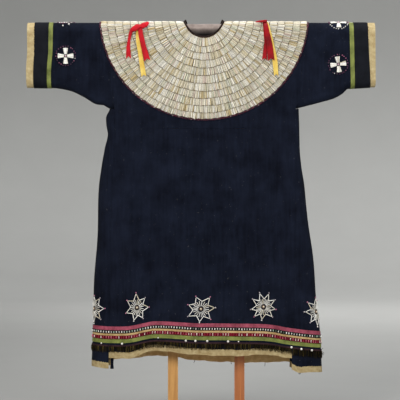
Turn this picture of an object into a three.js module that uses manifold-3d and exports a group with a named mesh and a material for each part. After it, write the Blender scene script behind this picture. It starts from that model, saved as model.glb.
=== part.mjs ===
// Dentalium shell dress of dark blue wool trade cloth, hanging on a wooden display stand.
// Millimetres, +Z up. The front faces -Y. X = 0 lies midway between the stand's two posts,
// and Z = 0 is the underside of its base board.
//
// The cloth is worked out in two ways that agree where they meet. Round the shoulders a place
// is (x, s): s is the distance along the cloth from the shoulder fold, positive down the front
// and negative down the back. On the hanging body a place is (w, z): w goes once round the
// garment, 0 to 1 across the front, to 2 round the right gore, to 3 across the back and to 4
// round the left gore.
import * as THREE from "three";
import { mergeVertices } from "three/addons/utils/BufferGeometryUtils.js";
import Module from "manifold-3d";

const wasm = await Module();
wasm.setup();

// ---- driving dimensions ---------------------------------------------------------------

const CLOTH = 2.2; // wool trade cloth with its nap
const RIBBON = 0.8; // silk ribbon
const SEAM_GAP = 0.5; // between two pieces sewn edge to edge
const TRIM_GAP = 0.9; // between the cloth and what is sewn on it
const CUFF_GAP = 1.5; // the same for the bands round a sleeve, whose cloth bends under them

const RAIL = { z: 1381, radius: 32.8, left: -616, right: 580, sides: 20 };
const FOLD_RADIUS = RAIL.radius + 1 + CLOTH; // outer face of the cloth over the rail
const QUARTER = (FOLD_RADIUS * Math.PI) / 2; // cloth from the fold to the rail's mid height
const BASE = { width: 500, depth: 400, height: 25, chamfer: 6 };
const POST = { width: 35, depth: 22, offset: 117.4, clear: 0.5 };

const NECK_X = -8; // centre of the neck and of the shell yoke
const NECK_RADIUS = 72.5;
const NECK_NARROW = 0.93; // the neck hole's half width against its depth
const BINDING = { inner: 71, outer: 78, thickness: 1.4, steps: 32 };
const YOKE = { groove: 2, crest: 4.4, crestAt: 0.6, gap: 2.4 };
const YOKE_LINES = [78.7, 107, 131, 156, 183, 210, 238, 265, 290, 316, 341, 362]; // row ends

const PANEL_FACETS = 18; // across the front or the back
const GORE_FACETS = 6; // round a side gore
const ARC_STEPS = 5; // from the shoulder fold to the rail's mid height

// Bands sewn round the skirt, as distances below the upper edge of the first one.
const HEM_BANDS = [
  { name: "hem_ribbon_pink", top: 0, bottom: 14.5, thickness: RIBBON, colour: 0x9c5f78 },
  { name: "hem_bead_band_dark", top: 15.2, bottom: 25.3, thickness: 1.8, colour: 0x3a2530 },
  { name: "hem_ribbon_cream", top: 26, bottom: 32.6, thickness: RIBBON, colour: 0xb8a884 },
  { name: "hem_bead_band_red", top: 33.3, bottom: 44, thickness: 1.8, colour: 0x5a2a34 },
  { name: "hem_ribbon_green", top: 45, bottom: 58, thickness: RIBBON, colour: 0x7d8458 },
];
const FRINGE = { top: 66.5, root: 72, tip: 90, thickness: 1.6, perFacet: 4, perGoreFacet: 4 };
const BAND_ZONE = { above: 3, middle: 45, below: 93 }; // rows of facets round the bands
const GORE_TOP = 1110;
const GORE_HEM = { left: 201, right: 187 };

// Height of the upper edge of the first band, and of the hem, on the front and the back.
const BAND_LINE = [
  { x: -402, front: 351, frontHem: 236, back: 351, backHem: 222 },
  { x: -338, front: 348, frontHem: 236.5, back: 350, backHem: 222 },
  { x: -284, front: 349, frontHem: 237.5, back: 350, backHem: 224 },
  { x: -249, front: 354, frontHem: 243, back: 350, backHem: 227 },
  { x: -214, front: 362, frontHem: 256, back: 349, backHem: 230.5 },
  { x: -179, front: 367, frontHem: 266, back: 349, backHem: 233 },
  { x: -144, front: 367, frontHem: 263.5, back: 348, backHem: 231 },
  { x: -22, front: 361.5, frontHem: 252.5, back: 348, backHem: 214 },
  { x: 117, front: 360, frontHem: 248, back: 346, backHem: 208.5 },
  { x: 187, front: 358, frontHem: 251, back: 344, backHem: 209 },
  { x: 240, front: 352.5, frontHem: 249, back: 342, backHem: 211.5 },
  { x: 275, front: 345.5, frontHem: 239, back: 340, backHem: 212.5 },
  { x: 328, front: 338, frontHem: 234, back: 336, backHem: 213 },
  { x: 402, front: 328, frontHem: 222, back: 328, backHem: 213 },
];

// Side outline of the body and its long seams, by height.
const SIDES = [
  { z: 1110, leftEdge: -340.5, left: -322, right: 315.5, rightEdge: 327 },
  { z: 1079, leftEdge: -353.5, left: -322.5, right: 315.3, rightEdge: 328.5 },
  { z: 1055, leftEdge: -352.5, left: -323, right: 315, rightEdge: 329.5 },
  { z: 1024, leftEdge: -348, left: -324, right: 314.7, rightEdge: 330 },
  { z: 973, leftEdge: -359.5, left: -326, right: 314.4, rightEdge: 330.5 },
  { z: 916, leftEdge: -369.7, left: -328, right: 314, rightEdge: 335 },
  { z: 840, leftEdge: -378, left: -330.5, right: 313.5, rightEdge: 347 },
  { z: 697, leftEdge: -384, left: -334, right: 312.5, rightEdge: 363 },
  { z: 520, leftEdge: -394, left: -337, right: 311, rightEdge: 384 },
  { z: 354, leftEdge: -401, left: -340, right: 307, rightEdge: 398 },
  { z: 275, leftEdge: -402, left: -341, right: 301, rightEdge: 402.5 },
  { z: 180, leftEdge: -404, left: -342, right: 298, rightEdge: 413 },
];
// The armhole seams are straight lines from the shoulder fold to the rail and on to the armpit.
const ARMPIT_DROP = 327; // along the cloth from the shoulder fold
const ARMHOLES = {
  left: { fold: -373, rail: -369, armpit: -322 },
  right: { fold: 361, rail: 357, armpit: 315.5 },
};
const WAIST = [
  { x: -330, z: 1041 },
  { x: 140, z: 1041 },
  { x: 230, z: 1051 },
  { x: 325, z: 1055 },
];

// Depth of the garment from its middle plane, at the centre and at the side seams.
const DEPTH = [
  { z: RAIL.z, front: FOLD_RADIUS, back: FOLD_RADIUS, seam: FOLD_RADIUS },
  { z: 1250, front: 43, back: 41, seam: 30 },
  { z: 1110, front: 48, back: 46, seam: 24 },
  { z: 950, front: 52, back: 50, seam: 28 },
  { z: 700, front: 62, back: 60, seam: 36 },
  { z: 450, front: 76, back: 74, seam: 44 },
  { z: 180, front: 92, back: 88, seam: 51 },
];
const DEPTH_ROUNDING = 2.6; // how full a panel stays towards its seams
const FOLD_FADE = 80; // folds die out over this height below the rail

// Soft troughs in the hanging cloth, each from (x1, z1) down to (x2, z2).
const FOLDS = [
  { side: "front", x1: -232, z1: 1030, x2: -172, z2: 430, width: 46, depth: 11 },
  { side: "front", x1: -172, z1: 430, x2: -168, z2: 100, width: 50, depth: 12 },
  { side: "front", x1: 240, z1: 1080, x2: 222, z2: 640, width: 44, depth: 8 },
  { side: "front", x1: 222, z1: 640, x2: 236, z2: 100, width: 50, depth: 11 },
  { side: "front", x1: 48, z1: 560, x2: 52, z2: 100, width: 46, depth: 7 },
  { side: "back", x1: 190, z1: 1020, x2: 150, z2: 100, width: 50, depth: 12 },
  { side: "back", x1: -60, z1: 760, x2: -40, z2: 100, width: 48, depth: 8 },
  { side: "back", x1: -210, z1: 1000, x2: -235, z2: 100, width: 46, depth: 11 },
  { side: "front", x1: -420, z1: 1290, x2: -366, z2: 1170, width: 27, depth: 6 },
  { side: "front", x1: 405, z1: 1290, x2: 362, z2: 1170, width: 27, depth: 6 },
  { side: "back", x1: -425, z1: 1290, x2: -368, z2: 1170, width: 27, depth: 6 },
  { side: "back", x1: 415, z1: 1285, x2: 368, z2: 1170, width: 27, depth: 6 },
];

// Each sleeve is a tube over the rail: its cuff edge, and its lower fold from cuff to armpit.
const SLEEVES = {
  left: {
    cuff: [
      { z: 1420, x: -629.5 },
      { z: 1320, x: -629 },
      { z: 1240, x: -633.5 },
      { z: 1186, x: -632.5 },
    ],
    under: [
      { x: -640, z: 1187.5 },
      { x: -540, z: 1186.5 },
      { x: -477, z: 1177 },
      { x: -427, z: 1154 },
      { x: -382, z: 1128 },
      { x: -361, z: 1126 },
      { x: -341, z: 1114 },
      { x: -322, z: 1112 },
    ],
  },
  right: {
    cuff: [
      { z: 1420, x: 593.5 },
      { z: 1320, x: 594.5 },
      { z: 1186, x: 596 },
    ],
    under: [
      { x: 600, z: 1190 },
      { x: 496, z: 1183 },
      { x: 480, z: 1168 },
      { x: 450, z: 1150 },
      { x: 402, z: 1136 },
      { x: 350, z: 1122 },
      { x: 318, z: 1114 },
    ],
  },
};
const UNDERARM = { rounding: 26, fullness: 0.6 }; // the lower fold of a sleeve
const CUFF_BANDS = [
  { name: "ribbon_dark", near: 26, far: 75, colour: 0x1b1d24 },
  { name: "ribbon_green", near: 76, far: 91, colour: 0x87955a },
];

// Shell stars in a row round the skirt, and shell crosses on the sleeves.
const STAR = { tip: 49, valley: 27, centreRise: 4.4, tipRise: 3.0, valleyRise: 2.4 };
const STARS = [
  { name: "star_front_left", w: 0.15, z: 415, points: 7, turn: 0.1 },
  { name: "star_front_middle", w: 0.494, z: 411, points: 7, turn: 0.05 },
  { name: "star_front_right", w: 0.831, z: 417.5, points: 9, turn: 0.2 },
  { name: "star_side_right", w: 1.36, z: 397, points: 8, turn: 0 },
  { name: "star_back_right", w: 2.17, z: 400, points: 8, turn: 0.3 },
  { name: "star_back_middle", w: 2.5, z: 402, points: 8, turn: 0.1 },
  { name: "star_back_left", w: 2.83, z: 405, points: 8, turn: 0.2 },
  { name: "star_side_left", w: 3.64, z: 408.5, points: 8, turn: 0 },
];
const CROSS = { arm: 27, endHalf: 9, waist: 6, rise: 3.6, edgeRise: 3 };
const CROSSES = [
  { name: "cross_front_left", sleeve: "left", x: -494, s: 140.5, turn: 0 },
  { name: "cross_front_right", sleeve: "right", x: 464, s: 170, turn: 0.14 },
  { name: "cross_shoulder_left", sleeve: "left", x: -498, s: -15, turn: 0.05 },
  { name: "cross_shoulder_right", sleeve: "right", x: 466, s: 13, turn: 0 },
  { name: "cross_back_left", sleeve: "left", x: -494, s: -150, turn: 0 },
  { name: "cross_back_right", sleeve: "right", x: 466, s: -150, turn: 0.1 },
];
const ORNAMENT_GAP = 0.5; // between the faceted cloth and a shell ornament
const ORNAMENT_ROOT = 6; // how far an ornament is drawn into the cloth before it is cut
const CUTTER_DEPTH = 14;

// Ribbon ties on the yoke, each tail as places (x, s) with its width there.
const TIE_OUT = 8; // ribbons lie on the shells
const TIES = [
  {
    name: "tie_left_red_long",
    out: 0,
    colour: 0xa01c22,
    path: [
      { x: -236, s: 36, width: 13 },
      { x: -262, s: 54, width: 12 },
      { x: -270, s: 84, width: 10 },
      { x: -273, s: 116, width: 14 },
      { x: -272, s: 153, width: 18 },
    ],
  },
  {
    name: "tie_left_yellow",
    out: 2.2,
    colour: 0xc9a03c,
    path: [
      { x: -240, s: 40, width: 10 },
      { x: -239, s: 80, width: 15 },
      { x: -233, s: 124, width: 14 },
      { x: -225, s: 172, width: 16 },
      { x: -218, s: 216, width: 17 },
    ],
  },
  {
    name: "tie_left_red_short",
    out: 4.4,
    colour: 0xa01c22,
    path: [
      { x: -234, s: 36, width: 12 },
      { x: -230, s: 62, width: 17 },
      { x: -223, s: 94, width: 17 },
      { x: -215, s: 127, width: 19 },
      { x: -206, s: 160, width: 21 },
    ],
  },
  {
    name: "tie_right_red_long",
    out: 0,
    colour: 0x8d1a22,
    path: [
      { x: 204, s: 24, width: 12 },
      { x: 208, s: 60, width: 14 },
      { x: 210, s: 92, width: 14 },
      { x: 206, s: 124, width: 14 },
      { x: 203, s: 158, width: 16 },
    ],
  },
  {
    name: "tie_right_yellow",
    out: 2.2,
    colour: 0xc9a03c,
    path: [
      { x: 211, s: 25, width: 10 },
      { x: 223, s: 66, width: 12 },
      { x: 232, s: 108, width: 13 },
      { x: 240, s: 158, width: 18 },
      { x: 245, s: 214, width: 15 },
    ],
  },
  {
    name: "tie_right_red_short",
    out: 4.4,
    colour: 0x8d1a22,
    path: [
      { x: 206, s: 24, width: 12 },
      { x: 214, s: 60, width: 16 },
      { x: 220, s: 92, width: 19 },
      { x: 224, s: 124, width: 22 },
      { x: 227, s: 160, width: 24 },
    ],
  },
];
const TIE_ALONG = [0, 0.06, 0.12, 0.18, 0.25, 0.35, 0.5, 0.75, 1]; // closer over the rail
// The left tie is knotted in a flat bow, the right one in a small knot with its end pulled out.
const KNOTS = [
  { name: "knot_left", x: -232, s: 43, length: 62, height: 22, depth: 8, tilt: 0.28, colour: 0xa01c22 },
  { name: "knot_right", x: 193, s: 27, length: 42, height: 11, depth: 8, tilt: 0.1, colour: 0x6d161c },
];
const KNOT_OUT = 18; // centre of a knot above the cloth, on the ribbons' ends

const NAVY = { color: 0x181c28, roughness: 0.95, metalness: 0 };
const SHELL = { color: 0xcfc3a8, roughness: 0.5, metalness: 0 };
const WOOD = { color: 0xb0804a, roughness: 0.6, metalness: 0 };
const FELT = { color: 0x7f716a, roughness: 1, metalness: 0 };

// ---- curves and shapes of the cloth ---------------------------------------------------

const mix = THREE.MathUtils.lerp;
const clamp = THREE.MathUtils.clamp;

// A smooth curve through the rows of a table that never overshoots them.
function smooth(rows, across, column, at) {
  const last = rows.length - 1;
  const order = Math.sign(rows[last][across] - rows[0][across]);
  const within = (k) => (at - rows[k][across]) * order;
  if (within(0) <= 0) return rows[0][column];
  if (within(last) >= 0) return rows[last][column];
  const i = rows.findIndex((row, k) => k < last && within(k + 1) < 0);
  const slope = (k) =>
    (rows[k + 1][column] - rows[k][column]) / (rows[k + 1][across] - rows[k][across]);
  const tangent = (k) => {
    if (k === 0) return slope(0);
    if (k === last) return slope(last - 1);
    const before = slope(k - 1);
    const after = slope(k);
    return before * after <= 0 ? 0 : (2 * before * after) / (before + after);
  };
  const span = rows[i + 1][across] - rows[i][across];
  const t = (at - rows[i][across]) / span;
  const rise = rows[i + 1][column] - rows[i][column];
  const a = tangent(i) * span;
  const b = tangent(i + 1) * span;
  return rows[i][column] + a * t + (3 * rise - 2 * a - b) * t ** 2 + (a + b - 2 * rise) * t ** 3;
}

function armholeX(side, s) {
  const { fold, rail, armpit } = ARMHOLES[side];
  if (s < QUARTER) return mix(fold, rail, s / QUARTER);
  return mix(rail, armpit, (s - QUARTER) / (ARMPIT_DROP - QUARTER));
}

// The armhole seam, and below the armpit the side seam, of the front and the back alike.
function seamAlong(side, s) {
  if (s < ARMPIT_DROP) return armholeX(side, s);
  return smooth(SIDES, "z", side, RAIL.z + QUARTER - s);
}
const seamX = (side, z) => seamAlong(side, QUARTER + RAIL.z - z);

function foldAt(side, x, z) {
  const fade = THREE.MathUtils.smoothstep(RAIL.z - z, 0, FOLD_FADE);
  let sum = 0;
  for (const fold of FOLDS) {
    if (fold.side !== side) continue;
    const dx = fold.x2 - fold.x1;
    const dz = fold.z2 - fold.z1;
    const t = clamp(((x - fold.x1) * dx + (z - fold.z1) * dz) / (dx * dx + dz * dz), 0, 1);
    const away = Math.hypot(x - fold.x1 - dx * t, z - fold.z1 - dz * t) / fold.width;
    sum += fold.depth * Math.exp(-away * away);
  }
  return sum * fade;
}

function depthAt(side, x, z) {
  const seam = smooth(DEPTH, "z", "seam", z);
  const middle = smooth(DEPTH, "z", side, z);
  const left = seamX("left", z);
  const u = clamp((2 * (x - left)) / (seamX("right", z) - left) - 1, -1, 1);
  return seam + (middle - seam) * (1 - Math.abs(u) ** DEPTH_ROUNDING) - foldAt(side, x, z);
}

// The cloth over and below the rail: an arc round the rail, then the hanging front or back.
function shoulderPoint(x, s) {
  const facing = s >= 0 ? -1 : 1;
  const run = Math.abs(s);
  if (run <= QUARTER) {
    const angle = run / FOLD_RADIUS;
    const y = facing * FOLD_RADIUS * Math.sin(angle);
    return new THREE.Vector3(x, y, RAIL.z + FOLD_RADIUS * Math.cos(angle));
  }
  const z = RAIL.z + QUARTER - run;
  return new THREE.Vector3(x, facing * depthAt(s >= 0 ? "front" : "back", x, z), z);
}

// The hanging body: panels between the seams, and each gore as half an ellipse round its side.
function bodyPoint(around, z) {
  const w = ((around % 4) + 4) % 4;
  const left = seamX("left", z);
  const right = seamX("right", z);
  if (w <= 1) {
    const x = mix(left, right, w);
    return new THREE.Vector3(x, -depthAt("front", x, z), z);
  }
  if (w >= 2 && w <= 3) {
    const x = mix(right, left, w - 2);
    return new THREE.Vector3(x, depthAt("back", x, z), z);
  }
  const angle = Math.PI * (w < 2 ? w - 1 : 4 - w);
  const seam = w < 2 ? right : left;
  const edge = smooth(SIDES, "z", w < 2 ? "rightEdge" : "leftEdge", z);
  const y = -depthAt("front", seam, z) * Math.cos(angle);
  return new THREE.Vector3(mix(seam, edge, Math.sin(angle)), y, z);
}

// A sleeve: v runs from the cuff to the armhole. t goes round, from -3 at the lower fold up the
// back to 0 at the shoulder fold and down the front to 3, with 1 and 2 where its wall is flat.
function sleevePoint(side, v, t) {
  const { cuff, under } = SLEEVES[side];
  const lowest = cuff[cuff.length - 1].x;
  const low = smooth(under, "x", "z", mix(lowest, ARMHOLES[side].armpit, v)) + UNDERARM.rounding;
  const facing = t >= 0 ? -1 : 1;
  const turn = Math.abs(t);
  let z = RAIL.z + FOLD_RADIUS * Math.cos(Math.min(turn, 1) * (Math.PI / 2));
  let s = Math.min(turn, 1) * QUARTER;
  let share = 1;
  if (turn > 1) {
    z = mix(RAIL.z, low, Math.min(turn, 2) - 1);
  }
  if (turn > 2) {
    const angle = (turn - 2) * (Math.PI / 2);
    z = low - UNDERARM.rounding * Math.sin(angle);
    share = Math.sign(Math.cos(angle)) * Math.abs(Math.cos(angle)) ** UNDERARM.fullness;
  }
  if (turn > 1) s = QUARTER + RAIL.z - z;
  const armhole = armholeX(side, s) + (side === "left" ? -SEAM_GAP : SEAM_GAP);
  const x = mix(smooth(cuff, "z", "x", z), armhole, v);
  if (turn <= 1) {
    const y = facing * FOLD_RADIUS * Math.sin(turn * (Math.PI / 2));
    return new THREE.Vector3(x, y, z);
  }
  return new THREE.Vector3(x, facing * share * depthAt(t >= 0 ? "front" : "back", x, z), z);
}

// A surface moved along its own normal. facing is 1 where the cross product of the two steps
// already points out of the garment, and -1 where it points in.
function moved(surface, a, b, out, facing, stepA, stepB) {
  const along = surface(a + stepA, b).sub(surface(a - stepA, b));
  const down = surface(a, b + stepB).sub(surface(a, b - stepB));
  const normal = along.cross(down).normalize();
  return surface(a, b).addScaledVector(normal, facing * out);
}
const onShoulder = (x, s, out) => moved(shoulderPoint, x, s, out, -1, 0.5, 0.5);
const onBody = (w, z, out) => moved(bodyPoint, w, z, out, 1, 0.002, 0.5);
function onSleeve(side, v, t, out) {
  const surface = (round, along) => sleevePoint(side, along, round);
  return moved(surface, t, v, out, side === "left" ? 1 : -1, 0.01, 0.002);
}

// ---- closed bodies --------------------------------------------------------------------

function steps(count, from = 0, to = 1) {
  return Array.from({ length: count + 1 }, (_, i) => mix(from, to, i / count));
}

const gridOf = (rows, columns, place) => rows.map((row) => columns.map((column) => place(column, row)));

// Collects triangles between points, and turns them all round if they enclose a negative volume.
class Shell {
  constructor() {
    this.corners = [];
  }

  triangle(a, b, c) {
    this.corners.push(a, b, c);
  }

  quad(a, b, c, d) {
    this.triangle(a, b, c);
    this.triangle(a, c, d);
  }

  geometry() {
    let volume = 0;
    for (let i = 0; i < this.corners.length; i += 3) {
      const [a, b, c] = this.corners.slice(i, i + 3);
      volume += a.dot(b.clone().cross(c));
    }
    const flat = [];
    for (let i = 0; i < this.corners.length; i += 3) {
      const [a, b, c] = this.corners.slice(i, i + 3);
      const face = volume > 0 ? [a, b, c] : [a, c, b];
      face.forEach((p) => flat.push(p.x, p.y, p.z));
    }
    const geometry = new THREE.BufferGeometry();
    geometry.setAttribute("position", new THREE.Float32BufferAttribute(flat, 3));
    return mergeVertices(geometry, 1e-3);
  }
}

// Fills the strip between two lines of points that may have different numbers of points.
function zip(shell, outer, inner, flip) {
  let i = 0;
  let k = 0;
  while (i < outer.length - 1 || k < inner.length - 1) {
    const nextOuter = (i + 1) / (outer.length - 1);
    const nextInner = (k + 1) / (inner.length - 1);
    const stepOuter = k === inner.length - 1 || (i < outer.length - 1 && nextOuter <= nextInner);
    const corners = stepOuter
      ? [outer[i], outer[i + 1], inner[k]]
      : [outer[i], inner[k + 1], inner[k]];
    if (stepOuter) i += 1;
    else k += 1;
    if (flip) corners.reverse();
    shell.triangle(...corners);
  }
}

// A wall between an outer and an inner grid. A ring's last column joins its first.
function wall(outer, inner, ring = false) {
  const shell = new Shell();
  const skin = (grid, flip) => {
    for (let j = 0; j + 1 < grid.length; j++) {
      const width = grid[j].length;
      for (let i = 0; i + 1 < width + (ring ? 1 : 0); i++) {
        const next = (i + 1) % width;
        const cell = [grid[j][i], grid[j][next], grid[j + 1][next], grid[j + 1][i]];
        if (flip) cell.reverse();
        shell.quad(...cell);
      }
    }
  };
  skin(outer, false);
  skin(inner, true);
  const closed = (row) => (ring ? [...row, row[0]] : row);
  zip(shell, closed(outer[0]), closed(inner[0]), true);
  zip(shell, closed(outer.at(-1)), closed(inner.at(-1)), false);
  if (!ring) {
    zip(shell, outer.map((row) => row[0]), inner.map((row) => row[0]), false);
    zip(shell, outer.map((row) => row.at(-1)), inner.map((row) => row.at(-1)), true);
  }
  return shell.geometry();
}

function wallOn(place, rows, columns, outside, inside, ring = false) {
  const outer = gridOf(rows, columns, (column, row) => place(column, row, outside));
  const inner = gridOf(rows, columns, (column, row) => place(column, row, inside));
  return wall(outer, inner, ring);
}

function solidOf(geometry) {
  const merged = mergeVertices(geometry.clone(), 1e-3);
  return new wasm.Manifold(
    new wasm.Mesh({
      numProp: 3,
      vertProperties: merged.attributes.position.array,
      triVerts: new Uint32Array(merged.index.array),
    }),
  );
}

function geometryOf(solid) {
  const { vertProperties, triVerts } = solid.getMesh();
  const geometry = new THREE.BufferGeometry();
  geometry.setAttribute("position", new THREE.BufferAttribute(vertProperties, 3));
  geometry.setIndex(new THREE.BufferAttribute(triVerts, 1));
  return geometry;
}

const cutAway = (geometry, tool) => geometryOf(solidOf(geometry).subtract(solidOf(tool)));

const dress = new THREE.Group();

function add(name, geometry, look) {
  geometry.deleteAttribute("normal");
  geometry.deleteAttribute("uv");
  geometry.computeVertexNormals();
  const mesh = new THREE.Mesh(geometry, new THREE.MeshStandardMaterial(look));
  mesh.name = name;
  dress.add(mesh);
  return mesh;
}

// ---- the stand ------------------------------------------------------------------------

function buildStand() {
  const { width, depth, height, chamfer } = BASE;
  const halfX = width / 2 - chamfer;
  const halfY = depth / 2 - chamfer;
  const board = new THREE.Shape();
  board.moveTo(-halfX, -halfY);
  board.lineTo(halfX, -halfY);
  board.lineTo(halfX, halfY);
  board.lineTo(-halfX, halfY);
  const edge = { depth: height - 2 * chamfer, bevelThickness: chamfer, bevelSize: chamfer };
  const slab = new THREE.ExtrudeGeometry(board, { ...edge, bevelSegments: 2 });
  add("stand_base", slab.translate(0, 0, chamfer), WOOD);

  const top = RAIL.z - RAIL.radius - POST.clear;
  const bottom = height + POST.clear;
  for (const [name, x] of [["stand_post_left", -POST.offset], ["stand_post_right", POST.offset]]) {
    const post = new THREE.BoxGeometry(POST.width, POST.depth, top - bottom);
    add(name, post.translate(x, 0, (top + bottom) / 2), WOOD);
  }

  const half = (RAIL.right - RAIL.left) / 2;
  const rounding = 8;
  const profile = [new THREE.Vector2(0, -half)];
  for (const end of [-1, 1]) {
    for (const t of steps(3)) {
      const angle = (end < 0 ? t : 1 - t) * (Math.PI / 2);
      const r = RAIL.radius - rounding * (1 - Math.sin(angle));
      profile.push(new THREE.Vector2(r, end * (half - rounding * (1 - Math.cos(angle)))));
    }
  }
  profile.push(new THREE.Vector2(0, half));
  const rail = new THREE.LatheGeometry(profile, RAIL.sides).rotateZ(-Math.PI / 2);
  add("stand_rail", rail.translate((RAIL.left + RAIL.right) / 2, 0, RAIL.z), FELT);
}

// ---- the cloth ------------------------------------------------------------------------

const waistZ = (x) => smooth(WAIST, "x", "z", x);
const WAIST_LEVEL = 1045; // where the waist seam's ends are looked up

// Upper body: rows 0 to 1 lie round the rail, rows 1 to 2 hang down to the armpits, and rows
// 2 to 3 end at the waist seam.
function bodicePoint(side, u, row, out) {
  const level = mix(seamX("left", WAIST_LEVEL), seamX("right", WAIST_LEVEL), u);
  const end = QUARTER + RAIL.z - waistZ(level) - SEAM_GAP / 2;
  const levels = [SEAM_GAP / 2, QUARTER, ARMPIT_DROP, end];
  const k = Math.min(Math.floor(row), 2);
  const s = mix(levels[k], levels[k + 1], row - k);
  const x = mix(seamAlong("left", s), seamAlong("right", s), u);
  return onShoulder(x, side === "front" ? s : -s, out);
}

// Rings round the neck are narrowed near the hole and quite round at the yoke's outer edge.
function ringX(r, angle) {
  const share = (r - NECK_RADIUS) / (YOKE_LINES.at(-1) - NECK_RADIUS);
  return NECK_X + r * Math.sin(angle) * mix(NECK_NARROW, 1, clamp(share, 0, 1));
}

// A thick curved plug through the cloth where the round neck hole is cut.
function neckCutter(side) {
  const columns = steps(14, -Math.PI / 2, Math.PI / 2);
  const place = (angle, row, out) => {
    const s = mix(-2, NECK_RADIUS * Math.cos(angle), row);
    return onShoulder(ringX(NECK_RADIUS, angle), side === "front" ? s : -s, out);
  };
  return wallOn(place, steps(6), columns, 6, -CLOTH - 6);
}

function buildBodice() {
  const rows = [...steps(ARC_STEPS), ...steps(5, 1, 2).slice(1), 3];
  for (const side of ["front", "back"]) {
    const place = (u, row, out) => bodicePoint(side, u, row, out);
    const panel = wallOn(place, rows, steps(PANEL_FACETS), 0, -CLOTH);
    add(`bodice_${side}`, cutAway(panel, neckCutter(side)), NAVY);
  }
}

const BAND_LEVEL = 350; // where places round the bands are looked up

// Height of the first band's upper edge, of the hem and of the upper edge, by the place w.
function bandZ(w) {
  const x = bodyPoint(w, BAND_LEVEL).x;
  const front = smooth(BAND_LINE, "x", "front", x);
  const back = smooth(BAND_LINE, "x", "back", x);
  const turned = ((w % 4) + 4) % 4;
  const share = turned <= 2 ? clamp(turned - 1, 0, 1) : clamp(4 - turned, 0, 1);
  return mix(front, back, share);
}

function hemZ(w) {
  if (w <= 1) return smooth(BAND_LINE, "x", "frontHem", bodyPoint(w, BAND_LEVEL).x);
  if (w < 2) return GORE_HEM.right;
  if (w <= 3) return smooth(BAND_LINE, "x", "backHem", bodyPoint(w, GORE_HEM.left).x);
  return GORE_HEM.left;
}

// Height of a row of the skirt: 0 at its upper edge, 1 above the bands, 2 to 4 down to the hem.
function skirtZ(w, row, top) {
  const band = bandZ(w);
  const { above, middle, below } = BAND_ZONE;
  const levels = [top, band + above, band - middle, band - below, hemZ(w)];
  const k = Math.min(Math.floor(row), 3);
  return mix(levels[k], levels[k + 1], row - k);
}

function panelPlace(w, row, out) {
  const top = waistZ(bodyPoint(w, WAIST_LEVEL).x) - SEAM_GAP / 2;
  return onBody(w, skirtZ(w, row, top), out);
}

// A gore starts just outside the seam, so its first and last columns keep the seam's gap.
function gorePlace(side, w, row, out) {
  const first = side === "right" ? 1 : 3;
  const z = skirtZ(first + clamp(w - first, 0.001, 0.999), row, GORE_TOP);
  const swell = Math.abs(smooth(SIDES, "z", `${side}Edge`, z) - seamX(side, z));
  const start = Math.asin(SEAM_GAP / swell) / Math.PI;
  return onBody(first + clamp(w - first, start, 1 - start), z, out);
}

const PANEL_ROWS = [...steps(6), 2, 3, 4];
const GORE_ROWS = [...steps(8), 2, 3, 4];
const gore = (side, first) => ({
  node: `gore_${side}`,
  columns: steps(GORE_FACETS, first, first + 1),
  rows: GORE_ROWS,
  place: (w, row, out) => gorePlace(side, w, row, out),
});
const panel = (side, first) => ({
  node: `skirt_${side}`,
  columns: steps(PANEL_FACETS, first, first + 1),
  rows: PANEL_ROWS,
  place: panelPlace,
});
const SKIRT = [panel("front", 0), gore("right", 1), panel("back", 2), gore("left", 3)];

function buildSkirt() {
  for (const { node, columns, rows, place } of SKIRT) {
    add(node, wallOn(place, rows, columns, 0, -CLOTH), NAVY);
  }
}

const SLEEVE_ROUND = [...steps(ARC_STEPS), ...steps(3, 1, 2).slice(1), ...steps(3, 2, 3).slice(1)];
const SLEEVE_RING = [...SLEEVE_ROUND.slice(1, -1).reverse().map((t) => -t), ...SLEEVE_ROUND];
const SLEEVE_ALONG = [0, 0.3, 0.38, 0.48, 0.6, 0.8, 1];

function sleeveWall(side, outside, inside) {
  const place = (t, v, out) => onSleeve(side, v, t, out);
  return wallOn(place, SLEEVE_ALONG, SLEEVE_RING, outside, inside, true);
}

function buildSleeves() {
  for (const side of ["left", "right"]) {
    add(`sleeve_${side}`, sleeveWall(side, 0, -CLOTH), NAVY);
    for (const { name, near, far, colour } of CUFF_BANDS) {
      const place = (t, distance, out) => {
        const length = Math.abs(sleevePoint(side, 1, t).x - sleevePoint(side, 0, t).x);
        return onSleeve(side, distance / length, t, out);
      };
      const band = wallOn(place, [near, far], SLEEVE_RING, CUFF_GAP + RIBBON, CUFF_GAP, true);
      add(`cuff_${side}_${name}`, band, { color: colour, roughness: 0.6, metalness: 0 });
    }
  }
}

// ---- trim round the neck and the hem --------------------------------------------------

function neckPoint(angle, r, out) {
  return onShoulder(ringX(r, angle), r * Math.cos(angle), out);
}

function buildBinding() {
  const { inner, outer, thickness, steps: count } = BINDING;
  const round = steps(count, 0, 2 * Math.PI).slice(0, -1);
  const band = wallOn(neckPoint, [inner, outer], round, TRIM_GAP + thickness, TRIM_GAP, true);
  add("neck_binding", band, { color: 0x33241f, roughness: 0.8, metalness: 0 });
}

function buildHemBands() {
  const round = SKIRT.flatMap(({ node, columns }) =>
    node.startsWith("skirt") ? columns : columns.slice(1, -1),
  );
  const place = (w, drop, out) => onBody(w, bandZ(w) - drop, out);
  for (const { name, top, bottom, thickness, colour } of HEM_BANDS) {
    const band = wallOn(place, [top, bottom], round, TRIM_GAP + thickness, TRIM_GAP, true);
    add(name, band, { color: colour, roughness: 0.65, metalness: 0 });
  }
}

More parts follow.
